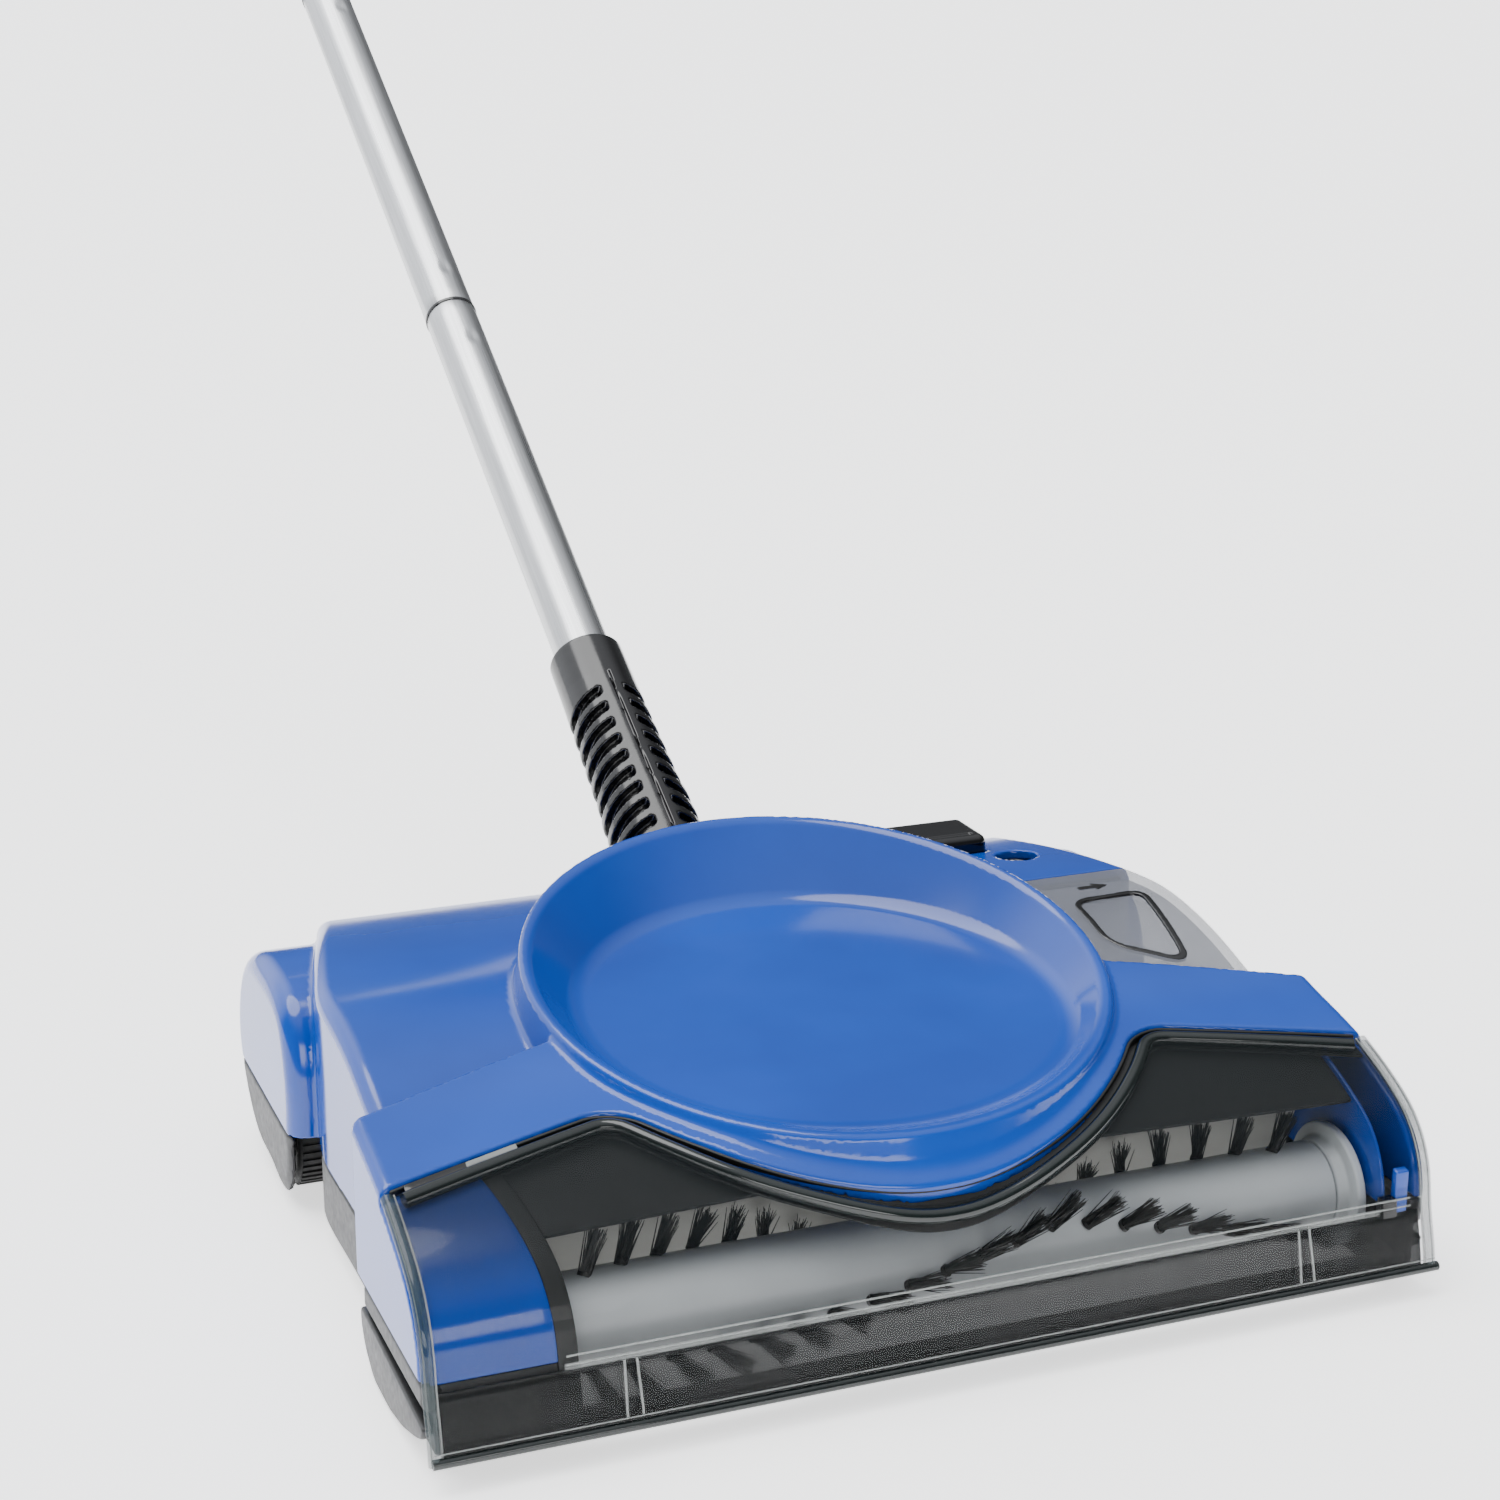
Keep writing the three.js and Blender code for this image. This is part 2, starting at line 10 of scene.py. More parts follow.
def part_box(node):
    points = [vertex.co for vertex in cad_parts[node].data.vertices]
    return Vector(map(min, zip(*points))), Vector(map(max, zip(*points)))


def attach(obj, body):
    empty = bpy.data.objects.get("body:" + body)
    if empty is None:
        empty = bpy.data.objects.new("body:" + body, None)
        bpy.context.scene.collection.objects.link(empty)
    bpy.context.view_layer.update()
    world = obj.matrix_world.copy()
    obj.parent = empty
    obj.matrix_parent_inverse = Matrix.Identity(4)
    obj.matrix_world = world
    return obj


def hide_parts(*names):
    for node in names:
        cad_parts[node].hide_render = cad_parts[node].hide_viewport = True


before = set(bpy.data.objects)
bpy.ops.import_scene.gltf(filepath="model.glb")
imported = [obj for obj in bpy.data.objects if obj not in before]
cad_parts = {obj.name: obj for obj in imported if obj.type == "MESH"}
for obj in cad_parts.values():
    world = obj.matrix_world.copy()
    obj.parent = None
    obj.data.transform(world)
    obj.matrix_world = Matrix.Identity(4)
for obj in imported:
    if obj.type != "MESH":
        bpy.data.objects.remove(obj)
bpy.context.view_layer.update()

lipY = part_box("front_window")[0].y
pinLow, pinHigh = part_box("pivot_pin")
pivotPoint = (pinLow + pinHigh) / 2
tubeLow = sum(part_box("lower_tube"), Vector()) / 2
tubeHigh = sum(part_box("upper_tube"), Vector()) / 2
handleAxis = (tubeHigh - tubeLow).normalized()
headPlace = Matrix.Translation((0, lipY, 0)) @ Matrix.Scale(0.001, 4)
handleTurn = Vector((0, 0, 1)).rotation_difference(handleAxis).to_matrix().to_4x4()
handlePlace = Matrix.Translation(pivotPoint) @ handleTurn @ Matrix.Scale(0.001, 4)


def hexColour(code):
    parts = [int(code[i:i + 2], 16) / 255 for i in (1, 3, 5)]
    return [c / 12.92 if c <= 0.04045 else ((c + 0.055) / 1.055) ** 2.4 for c in parts] + [1.0]


def addNode(tree, kind, inputs=None, **settings):
    node = tree.nodes.new(kind)
    for key, value in settings.items():
        setattr(node, key, value)
    for key, value in (inputs or {}).items():
        if isinstance(value, bpy.types.NodeSocket):
            tree.links.new(value, node.inputs[key])
        else:
            node.inputs[key].default_value = value
    return node


def roundMax(a, b, r):
    u, v = np.maximum(a + r, 0), np.maximum(b + r, 0)
    return np.minimum(np.maximum(a, b), -r) + np.sqrt(u * u + v * v)


def roundMin(a, b, r):
    return -roundMax(-a, -b, r)


def splineThrough(knots):
    # natural cubic spline, straight beyond its ends; gives value and slope
    us, vs = np.array(knots, float).T
    count, gaps = len(us), np.diff(us)
    system, right = np.eye(count), np.zeros(count)
    for i in range(1, count - 1):
        system[i, i - 1:i + 2] = gaps[i - 1] / 6, (gaps[i - 1] + gaps[i]) / 3, gaps[i] / 6
        right[i] = (vs[i + 1] - vs[i]) / gaps[i] - (vs[i] - vs[i - 1]) / gaps[i - 1]
    bends = np.linalg.solve(system, right)

    def evaluate(u):
        inside = np.clip(u, us[0], us[-1])
        i = np.clip(np.searchsorted(us, inside) - 1, 0, count - 2)
        g, a, b = gaps[i], us[i + 1] - inside, inside - us[i]
        value = (bends[i] * a ** 3 + bends[i + 1] * b ** 3) / (6 * g)
        value += (vs[i] / g - bends[i] * g / 6) * a + (vs[i + 1] / g - bends[i + 1] * g / 6) * b
        slope = (bends[i + 1] * b ** 2 - bends[i] * a ** 2) / (2 * g)
        slope += (vs[i + 1] - vs[i]) / g - (bends[i + 1] - bends[i]) * g / 6
        return value + slope * (u - inside), slope
    return evaluate


def gradientOf(field, p, step=0.05):
    grad = np.empty_like(p)
    for k in range(3):
        side = np.zeros(3)
        side[k] = step
        grad[:, k] = (field(*(p + side).T) - field(*(p - side).T)) / (2 * step)
    return grad


def skinField(name, field, low, high, cell, place, keep=1.0):
    # closed skin of a distance field by surface nets, drawn onto the exact surface, with its true normals
    block = 6
    start = np.array(low, float) - 1.5 * cell
    n = (np.ceil((np.array(high) + 1.5 * cell - start) / cell / block).astype(int)) * block
    corner = np.stack(np.meshgrid(*[np.arange(0, k, block) for k in n], indexing="ij"), -1)
    middle = field(*(start + (corner.reshape(-1, 3) + block / 2) * cell).T).reshape(corner.shape[:3])
    wide = [middle.repeat(block, 0).repeat(block, 1).repeat(block, 2)]
    dense = np.where(wide[0] < 0, -99.0, 99.0).astype(np.float32)
    near = np.abs(wide[0]) < block * cell * 1.3 + 2
    spots = np.argwhere(near)
    dense[near] = field(*(start + spots * cell).T)
    inside = dense < 0
    total = sum(inside[i:n[0] - 1 + i, j:n[1] - 1 + j, k:n[2] - 1 + k].astype(np.int8)
                for i in (0, 1) for j in (0, 1) for k in (0, 1))
    mixed = (total > 0) & (total < 8)
    cells = np.argwhere(mixed)
    number = np.full(mixed.shape, -1, np.int64)
    number[mixed] = np.arange(len(cells))
    crossing, count = np.zeros((len(cells), 3)), np.zeros(len(cells))
    for axis in range(3):
        unit = np.eye(3, dtype=int)[axis]
        for i in (0, 1):
            for j in (0, 1):
                offset = np.insert([i, j], axis, 0)
                a = dense[tuple((cells + offset).T)]
                b = dense[tuple((cells + offset + unit).T)]
                hit = (a < 0) != (b < 0)
                share = np.where(hit, a / np.where(hit, a - b, 1), 0)[:, None]
                crossing += hit[:, None] * (offset + share * unit)
                count += hit
    points = start + (cells + crossing / count[:, None]) * cell
    quads = []
    for axis in range(3):
        b, c = np.eye(3, dtype=int)[(axis + 1) % 3], np.eye(3, dtype=int)[(axis + 2) % 3]
        first = np.take(inside, range(0, n[axis] - 1), axis)
        second = np.take(inside, range(1, n[axis]), axis)
        for sign, flip in ((first & ~second, 1), (~first & second, -1)):
            p = np.argwhere(sign)
            p = p[(p[:, (axis + 1) % 3] > 0) & (p[:, (axis + 2) % 3] > 0)]
            around = [number[tuple((p - b - c).T)], number[tuple((p - c).T)],
                      number[tuple(p.T)], number[tuple((p - b).T)]][::flip]
            quads.append(np.stack(around, 1))
    quads = np.concatenate(quads)
    for _ in range(3):
        grad = gradientOf(field, points)
        step = field(*points.T) / np.maximum((grad ** 2).sum(1), 0.2)
        points -= grad * np.clip(step, -0.6 * cell, 0.6 * cell)[:, None]
    mesh = bpy.data.meshes.new(name)
    mesh.vertices.add(len(points))
    mesh.vertices.foreach_set("co", points.ravel())
    mesh.loops.add(quads.size)
    mesh.loops.foreach_set("vertex_index", quads.ravel())
    mesh.polygons.add(len(quads))
    mesh.polygons.foreach_set("loop_start", np.arange(0, quads.size, 4))
    mesh.update(calc_edges=True)
    piece = bpy.data.objects.new(name, mesh)
    bpy.context.scene.collection.objects.link(piece)
    if keep < 1:
        shrink = piece.modifiers.new("fewer faces", "DECIMATE")
        shrink.ratio = keep
        piece.data = bakedMesh(piece)
        piece.modifiers.clear()
        mesh = piece.data
        mesh.name = name
    spot = np.empty(len(mesh.vertices) * 3)
    mesh.vertices.foreach_get("co", spot)
    normals = gradientOf(field, spot.reshape(-1, 3))
    normals /= np.maximum(np.linalg.norm(normals, axis=1), 1e-6)[:, None]
    turn = np.array(place.to_3x3().normalized())
    mesh.transform(place)
    mesh.shade_smooth()
    mesh.normals_split_custom_set_from_vertices(normals @ turn.T)
    return piece


def bakedMesh(piece):
    bpy.context.view_layer.update()
    shown = piece.evaluated_get(bpy.context.evaluated_depsgraph_get())
    return bpy.data.meshes.new_from_object(shown)


insideWall = 3.7     # the hidden inner face stands further in, so the skin never gets thinner than a cell
seamZ = 28.5
halfWidth = 159.0
front = {"centre": (62, 8), "crown": 0.034, "edge": 3.4, "ridge": 1.5,
         "line": [(0, 13.2), (1.6, 20), (3.7, 28.6), (5.3, 37.9), (8.8, 46.4), (14.8, 53.8), (25.1, 60.4),
                  (36.5, 65.5), (46.6, 69), (63, 73), (79.5, 77), (104, 82.9)]}
barrel = {"top": [(60, 61.5), (85, 70), (99, 74.3), (113, 78.7), (130, 82.5), (145, 84.4), (160, 85),
                  (180, 84.7), (200, 83.6), (220, 81.6), (240, 78.4), (262, 73.5)],
          "side": [(60, 150.5), (140, 150.5), (159, 150.2), (179, 146.8), (200, 142), (231, 134), (263, 127)],
          "back": 260.6, "backRound": 19, "edge": 5}
cornerBlock = {"centre": (218, 38), "outer": 157, "edge": 7,
               "line": [(187, 3.2), (179.5, 11), (176, 28), (174.4, 44), (177, 57), (184, 69), (196, 74),
                        (213, 75), (230, 74), (243, 69.6), (252, 61.5), (258.5, 50), (260.8, 36), (257.6, 26),
                        (247, 12.5), (229, 3.8), (208, 2.4)]}
dishRim = {"y": 114.2, "z": 90.8, "r": 93.5, "tilt": 12.4}
dishFloor = {"y": 108, "z": 77, "r": 78.5, "tilt": 6.7}
dishSkirt = {"y": 114, "z": 63, "r": 99, "tilt": 6.6}
ridgeSlope = 0.296
windowSlope = 0.2416


def polarSpline(settings):
    cy, cz = settings["centre"]
    knots = [(math.atan2(z - cz, cy - y), math.hypot(y - cy, z - cz)) for y, z in settings["line"]]
    knots.sort()
    if knots[-1][0] - knots[0][0] > 5:      # a line that closes round its centre
        turn = 2 * math.pi
        knots = [(a - turn, r) for a, r in knots[-3:]] + knots + [(a + turn, r) for a, r in knots[:3]]
    return splineThrough(knots)


frontCurve = polarSpline(front)
blockCurve = polarSpline(cornerBlock)
barrelTop = splineThrough(barrel["top"])
barrelSide = splineThrough(barrel["side"])


def frontSkin(x, y, z):
    # the front's rolled profile with its slight crown towards the middle
    cy, cz = front["centre"]
    lift = front["crown"] * (halfWidth - np.abs(x)) * np.clip((z - 40) / 30, 0, 1)
    radius, slope = frontCurve(np.arctan2(z - lift - cz, cy - y))
    return (np.hypot(y - cy, z - lift - cz) - radius) / np.hypot(1, slope / radius)


def frontBody(x, y, z):
    side = np.abs(x) - halfWidth
    ridge = (y - 79.5 - (156.5 - np.abs(x)) * ridgeSlope) / math.hypot(1, ridgeSlope)
    return roundMax(roundMax(frontSkin(x, y, z), side, front["edge"]), ridge, front["ridge"])


def barrelSkin(x, y, z):
    height, slope = barrelTop(y)
    return roundMax((z - height) / np.hypot(1, slope), y - barrel["back"], barrel["backRound"])


def barrelBody(x, y, z):
    width, slope = barrelSide(y)
    side = (np.abs(x) - width) / np.hypot(1, slope)
    return roundMax(roundMax(barrelSkin(x, y, z), side, barrel["edge"]), 62 - y, 1)


def blockBody(x, y, z):
    cy, cz = cornerBlock["centre"]
    radius, slope = blockCurve(np.arctan2(z - cz, cy - y))
    curve = (np.hypot(y - cy, z - cz) - radius) / np.hypot(1, slope / radius)
    return np.maximum(roundMax(curve, np.abs(x) - cornerBlock["outer"], cornerBlock["edge"]), 124 - np.abs(x))


def planeOf(ring, y):
    return ring["z"] + (y - ring["y"]) * math.tan(math.radians(ring["tilt"]))


def coneBetween(low, high, x, y, z):
    # wall of a dish whose lower and upper circles are tilted differently
    zLow, zHigh = planeOf(low, y), planeOf(high, y)
    height = np.maximum(zHigh - zLow, 2)
    share = (z - zLow) / height
    centre = low["y"] + (high["y"] - low["y"]) * share
    radius = low["r"] + (high["r"] - low["r"]) * share
    lean = (high["r"] - low["r"]) / height
    return (np.hypot(x, (y - centre) * 1.02) - radius) / np.hypot(1, lean)


def dishBody(x, y, z):
    wallSide = coneBetween(dishSkirt, dishRim, x, y, z)
    return roundMax(np.maximum(wallSide, planeOf(dishSkirt, y) - z), z - planeOf(dishRim, y), 1.3)


def dishBowl(x, y, z):
    mouth = dict(dishRim, r=dishRim["r"] - 3.2)
    floorSide = (planeOf(dishFloor, y) - z) * 0.99
    return roundMax(coneBetween(dishFloor, mouth, x, y, z), floorSide, 3.0)


def headSkin(x, y, z):
    body = roundMin(frontBody(x, y, z), barrelBody(x, y, z), 1.5)
    body = roundMin(body, blockBody(x, y, z), 1.6)
    body = roundMin(body, dishBody(x, y, z), 1.8)
    return roundMax(body, -dishBowl(x, y, z), 1.3)


def windowArea(x, y, grow=0.0):
    # plan of the front window: below zero inside
    top = (y - 46.1 - (158 - np.abs(x)) * windowSlope) / math.hypot(1, windowSlope)
    aroundDish = 98.8 - np.hypot(x, y - 114)
    return roundMax(top, aroundDish, 11) - grow


def boxBody(x, y, z, low, high, r):
    parts = [np.maximum(a - c, b - a) for a, b, c in zip((x, y, z), low, high)]
    return roundMax(roundMax(parts[0], parts[1], r), parts[2], r)


cupRoom = {"front": 83.3, "back": 175.5}


def cupArea(x, y, z, grow=0.0):
    # plan of the dust cup: behind the slanted ridge, right of the dish
    ridge = (cupRoom["front"] + (150.2 - x) * 0.306 - y) / 1.046
    back = y - cupRoom["back"]
    dish = -coneBetween(dishSkirt, dishRim, x, y, z) + 0.6
    return roundMax(roundMax(ridge, back, 3), dish, 2.5) - grow


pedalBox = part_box("power_pedal")
pedalLow = [v * 1000 for v in (pedalBox[0].x, pedalBox[0].y - lipY, pedalBox[0].z)]
pedalHigh = [v * 1000 for v in (pedalBox[1].x, pedalBox[1].y - lipY, pedalBox[1].z)]
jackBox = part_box("charge_jack")
jackX = (jackBox[0].x + jackBox[1].x) * 500
jackY = ((jackBox[0].y + jackBox[1].y) / 2 - lipY) * 1000


def hoodField(x, y, z):
    skin = headSkin(x, y, z)
    shell = roundMax(skin, -(skin + insideWall), 0.5)
    window = np.maximum(-(frontSkin(x, y, z) + insideWall + 0.8), windowArea(x, y))
    shell = roundMax(shell, -np.maximum(window, z - 82), 0.9)
    cup = roundMax(cupArea(x, y, z, 0.5), 0.3 - x, 0.5)
    shell = roundMax(shell, -np.maximum(cup, 40 - x), 0.5)
    slot = boxBody(x, y, z, (-19, 207.5, 45), (19, 290, 140), 5)
    shell = roundMax(shell, -slot, 0.8)
    hole = boxBody(x, y, z, [v - 0.8 for v in pedalLow], [v + 0.8 for v in pedalHigh], 4)
    shell = roundMax(shell, -hole, 0.7)
    socket = np.maximum(np.hypot(x - jackX, y - jackY) - 7.6, 60 - z)
    shell = roundMax(shell, -socket, 0.7)
    return roundMax(shell, seamZ + 0.15 - z, 0.5)


def newMaterial(name, **shader):
    material = bpy.data.materials.new(name)
    material.use_nodes = True
    tree = material.node_tree
    tree.nodes.clear()
    bsdf = addNode(tree, "ShaderNodeBsdfPrincipled", shader)
    addNode(tree, "ShaderNodeOutputMaterial", {"Surface": bsdf.outputs[0]})
    place = addNode(tree, "ShaderNodeTexCoord").outputs["Object"]
    return material, tree, bsdf, place


def patches(tree, place, size, low, high):
    # soft patches, size millimetres across, between two values
    noise = addNode(tree, "ShaderNodeTexNoise", {"Vector": place, "Scale": 1000 / size, "Detail": 3.0})
    ranged = addNode(tree, "ShaderNodeMapRange", {"Value": noise.outputs["Fac"], "From Min": 0.3,
                                                  "From Max": 0.7, "To Min": low, "To Max": high})
    return ranged.outputs["Result"]


def coat(tree, bsdf, share, colours, height, strength):
    # two colours mixed by share, and up to half a millimetre of relief
    colour = addNode(tree, "ShaderNodeMix", {0: share, 6: hexColour(colours[0]), 7: hexColour(colours[1])},
                     data_type="RGBA")
    bump = addNode(tree, "ShaderNodeBump", {"Height": height, "Strength": strength, "Distance": 0.0005})
    tree.links.new(colour.outputs[2], bsdf.inputs["Base Color"])
    tree.links.new(bump.outputs["Normal"], bsdf.inputs["Normal"])


def moulded(name, dark, light, drift, rough, grain, depth, **shader):
    # drift and grain are millimetres: slow colour change of the melt, and the texture of the mould
    material, tree, bsdf, place = newMaterial(name, **shader)
    drifting, grained = patches(tree, place, drift, 0, 1), patches(tree, place, grain, 0, 1)
    coat(tree, bsdf, drifting, (dark, light), grained, depth)
    tree.links.new(patches(tree, place, grain * 4, *rough), bsdf.inputs["Roughness"])
    return material


def drawnMetal(name, dark, light, rough, turn, line, **shader):
    # line is the spacing of the drawing lines in millimetres, drawn coarse enough to show
    material, tree, bsdf, place = newMaterial(name, Metallic=1.0, **shader)
    local = addNode(tree, "ShaderNodeMapping", {"Vector": place, "Rotation": turn}, vector_type="TEXTURE")
    long = addNode(tree, "ShaderNodeMapping", {"Vector": local.outputs[0], "Scale": (1, 1, 0.02)})
    lines = patches(tree, long.outputs[0], line, 0, 1)
    coat(tree, bsdf, lines, (dark, light), lines, 0.04)
    tree.links.new(patches(tree, long.outputs[0], line * 2, *rough), bsdf.inputs["Roughness"])
    return material


def clearPlastic(name, colour, cover, heights, rough, **shader):
    # a tinted clear moulding; cover runs between two heights in millimetres, where the sheet turns away
    material, tree, bsdf, place = newMaterial(name, **shader)
    bsdf.inputs["Base Color"].default_value = hexColour(colour)
    height = addNode(tree, "ShaderNodeSeparateXYZ", {"Vector": place}).outputs["Z"]
    tint = addNode(tree, "ShaderNodeMapRange", {"Value": height, "From Min": heights[0] / 1000,
                                                "From Max": heights[1] / 1000, "To Min": cover[0],
                                                "To Max": cover[1]}, interpolation_type="SMOOTHSTEP")
    tree.links.new(tint.outputs["Result"], bsdf.inputs["Alpha"])
    tree.links.new(patches(tree, place, 8, rough, rough * 1.7), bsdf.inputs["Roughness"])
    bump = addNode(tree, "ShaderNodeBump", {"Height": patches(tree, place, 30, 0, 1), "Strength": 0.02,
                                            "Distance": 0.0005})
    tree.links.new(bump.outputs["Normal"], bsdf.inputs["Normal"])
    return material


styrene = {"IOR": 1.54}
alongTube = Vector((0, 0, 1)).rotation_difference(handleAxis).to_euler()
alongAxle = (0, math.radians(90), 0)
# polished ABS: even deep blue with mirror gloss and the faintest flow of the mould
blueAbs = moulded("polished blue ABS", "#073c98", "#0a44a6", 60, (0.10, 0.15), 14, 0.02, **styrene)
# spark-textured ABS of the chassis: dull charcoal, its 0.1 mm pits drawn 0.6 mm so that they show
charcoalAbs = moulded("spark-textured charcoal ABS", "#161618", "#1e1e20", 30, (0.42, 0.54), 0.6, 0.05,
                      **styrene)
# polished black ABS: sharp small highlights on a near-black body
blackAbs = moulded("glossy black ABS", "#030304", "#08080a", 25, (0.14, 0.22), 5, 0.04, **styrene)
# dull black liner behind the clear front, which swallows the light
linerBlack = moulded("matt black ABS liner", "#030404", "#070909", 25, (0.5, 0.6), 2, 0.06, **styrene)
# cast rubber: soft wide highlight, faint mottling
castRubber = moulded("cast black rubber", "#0b0b0b", "#131313", 12, (0.6, 0.8), 0.9, 0.15, IOR=1.52)
# extruded ABS tube of the roll: even pale grey with a dull shine
paleAbs = moulded("extruded pale grey ABS", "#bcc1c4", "#ccd1d3", 45, (0.34, 0.46), 2, 0.04, **styrene)
# nylon filament: near-black threads with a slight shine
nylon = moulded("black nylon filament", "#0c0b0a", "#22201e", 6, (0.4, 0.55), 1.5, 0.02, IOR=1.53)
# heat-shrunk PVC on the cells, and the lacquered glass laminate of the board
shrunkPvc = moulded("heat-shrunk green PVC", "#1f6b3a", "#2a7b46", 20, (0.28, 0.4), 3, 0.06, IOR=1.53)
lacquered = moulded("green lacquered glass laminate", "#124226", "#1a5532", 15, (0.3, 0.42), 1, 0.05,
                    IOR=1.55)
# drawn steel: bright, with fine lines along the bar
brightSteel = drawnMetal("bright drawn steel", "#8d8e90", "#b0b1b3", (0.22, 0.36), alongAxle, 0.6)
# satin anodised tube: soft even silver with fine lines along its length
satinTube = drawnMetal("satin anodised aluminium", "#b4b5b6", "#c8c9ca", (0.26, 0.36), alongTube, 0.8)
polished = {"IOR": 1.585, "Specular IOR Level": 0.22}
# smoked polycarbonate: clear where it faces the eye, nearly black where the sheet rolls over the top
smokedSheet = clearPlastic("smoked polycarbonate", "#0a1214", (0.12, 0.36), (45, 68), 0.03, **polished)
smokedBead = clearPlastic("thick smoked polycarbonate", "#0b1413", (0.93, 0.96), (30, 60), 0.06, IOR=1.585)
# near-black sheet behind the lower front: painted shade for the shadowed chamber behind it
bandShadeSheet = clearPlastic("near-black band of painted shade", "#070808", (0.80, 0.74), (10, 28), 0.08, **polished)
# the moulding's clear rims: pale green-grey; the bright edge is a pale colour painted as the highlight lines
# that catch the light along their curve
clearRim = clearPlastic("clear polycarbonate rim", "#35474a", (0.34, 0.44), (10, 60), 0.03, IOR=1.585)
brightRim = clearPlastic("bright polycarbonate edge", "#a9adab", (0.40, 0.52), (10, 60), 0.05, IOR=1.585)
# smoky styrene acrylonitrile of the dust cup: grey and hazy, with glossy faces
smokySan = clearPlastic("smoky moulded SAN", "#7d8089", (0.46, 0.52), (10, 80), 0.06, IOR=1.7)
print("materials made")


def settle(piece, body, slotName, *nodes):
    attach(piece, body)
    if nodes:
        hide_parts(*nodes)
    return piece


def meshPiece(name, points, faces, place, material, bevel=0.0, sharp=35):
    # bevel in millimetres; the mesh keeps its place, so the object stays at the origin
    mesh = bpy.data.meshes.new(name)
    mesh.from_pydata(np.asarray(points, float).tolist(), [], [tuple(int(k) for k in f) for f in faces])
    shape = bmesh.new()
    shape.from_mesh(mesh)
    bmesh.ops.remove_doubles(shape, verts=shape.verts, dist=1e-4)
    bmesh.ops.recalc_face_normals(shape, faces=shape.faces)
    shape.to_mesh(mesh)
    shape.free()
    mesh.transform(place)
    mesh.materials.append(material)
    piece = bpy.data.objects.new(name, mesh)
    bpy.context.scene.collection.objects.link(piece)
    if bevel:
        modifier = piece.modifiers.new("soft edges", "BEVEL")
        modifier.width, modifier.segments = bevel / 1000, 3
        modifier.limit_method, modifier.angle_limit = "ANGLE", math.radians(40)
        baked = bakedMesh(piece)
        piece.modifiers.clear()
        piece.data = baked
    piece.data.shade_smooth()
    piece.data.set_sharp_from_angle(angle=math.radians(sharp))
    return piece


def fieldPiece(name, field, low, high, cell, place, material, keep=1.0):
    piece = skinField(name, field, low, high, cell, place, keep)
    piece.data.materials.append(material)
    print(name, len(piece.data.polygons))
    return piece


def softened(line, radius, count=4):
    # a closed outline with its corners turned into short curves; corners on the axis stay
    points = np.array(line, float)
    result = []
    for i, corner in enumerate(points):
        ends = [points[i - 1] - corner, points[(i + 1) % len(points)] - corner]
        lengths = [max(np.linalg.norm(e), 1e-9) for e in ends]
        if abs(corner[0]) < 1e-6 or not radius:
            result.append(corner)
            continue
        near = min(radius, 0.45 * min(lengths))
        a, b = [corner + e / n * near for e, n in zip(ends, lengths)]
        result += [(1 - t) ** 2 * a + 2 * t * (1 - t) * corner + t * t * b for t in np.linspace(0, 1, count)]
    return np.array(result)


def turned(name, profile, place, material, steps=72, soft=0.6, dent=None):
    # a closed (radius, height) profile turned about local Z; dent(angle, height) presses points inwards
    line = softened(profile, soft)
    turn = np.linspace(0, 2 * math.pi, steps, endpoint=False)
    radius = np.repeat(line[:, :1], steps, 1)
    height = np.repeat(line[:, 1:], steps, 1)
    if dent:
        radius = radius - dent(turn[None, :], height)
    points = np.stack([radius * np.cos(turn), radius * np.sin(turn), height], -1).reshape(-1, 3)
    count = len(line)
    faces = []
    for i in range(count):
        k = (i + 1) % count
        if line[i][0] < 1e-6 and line[k][0] < 1e-6:
            continue
        for j in range(steps):
            l = (j + 1) % steps
            faces.append((i * steps + j, i * steps + l, k * steps + l, k * steps + j))
    return meshPiece(name, points, faces, place, material)


def crosswise(y, z):
    # places a turned piece on an axle: local Z becomes the head's X
    return headPlace @ Matrix.Translation((0, y, z)) @ Matrix.Rotation(math.radians(90), 4, "Y")


def plate(name, outline, low, high, place, material, bevel=0.6):
    # a closed (y, z) outline carried along x
    count = len(outline)
    points = [(x, y, z) for x in (low, high) for y, z in outline]
    faces = [range(count), range(2 * count - 1, count - 1, -1)]
    faces += [(i, (i + 1) % count, count + (i + 1) % count, count + i) for i in range(count)]
    return meshPiece(name, points, faces, place, material, bevel)


def frontPoint(x, angle, depth=0.0):
    # a point of the rolled front surface, pushed inwards by depth
    cy, cz = front["centre"]
    x, angle = np.broadcast_arrays(np.asarray(x, float), angle)
    radius = frontCurve(angle)[0]
    low = cz + radius * np.sin(angle)
    rise = front["crown"] * (halfWidth - np.abs(x))
    high = np.minimum(40 + (low - 40) / (1 - rise / 30), low + rise)
    points = np.stack([x, cy - radius * np.cos(angle), np.where(low < 40, low, high)], -1).reshape(-1, 3)
    if np.any(depth):
        normals = gradientOf(frontSkin, points)
        normals /= np.linalg.norm(normals, axis=1)[:, None]
        points = points - normals * np.broadcast_to(depth, x.shape).reshape(-1, 1)
    return points


def angleOfHeight(z):
    steps = np.linspace(-0.1, 1.2, 400)
    return float(np.interp(z, front["centre"][1] + frontCurve(steps)[0] * np.sin(steps), steps))


def angleOfArea(xs, limit):
    # where the window's plan outline crosses the front surface, for each x
    steps = np.linspace(0.2, 1.95, 700)
    xs = np.asarray(xs, float)
    points = frontPoint(xs[:, None], steps[None, :]).reshape(len(xs), len(steps), 3)
    beyond = windowArea(points[..., 0], points[..., 1]) - limit
    k = np.maximum(np.argmax(beyond > 0, 1), 1)
    row = np.arange(len(xs))
    before, after = beyond[row, k - 1], beyond[row, k]
    return steps[k - 1] + (steps[1] - steps[0]) * before / (before - after)


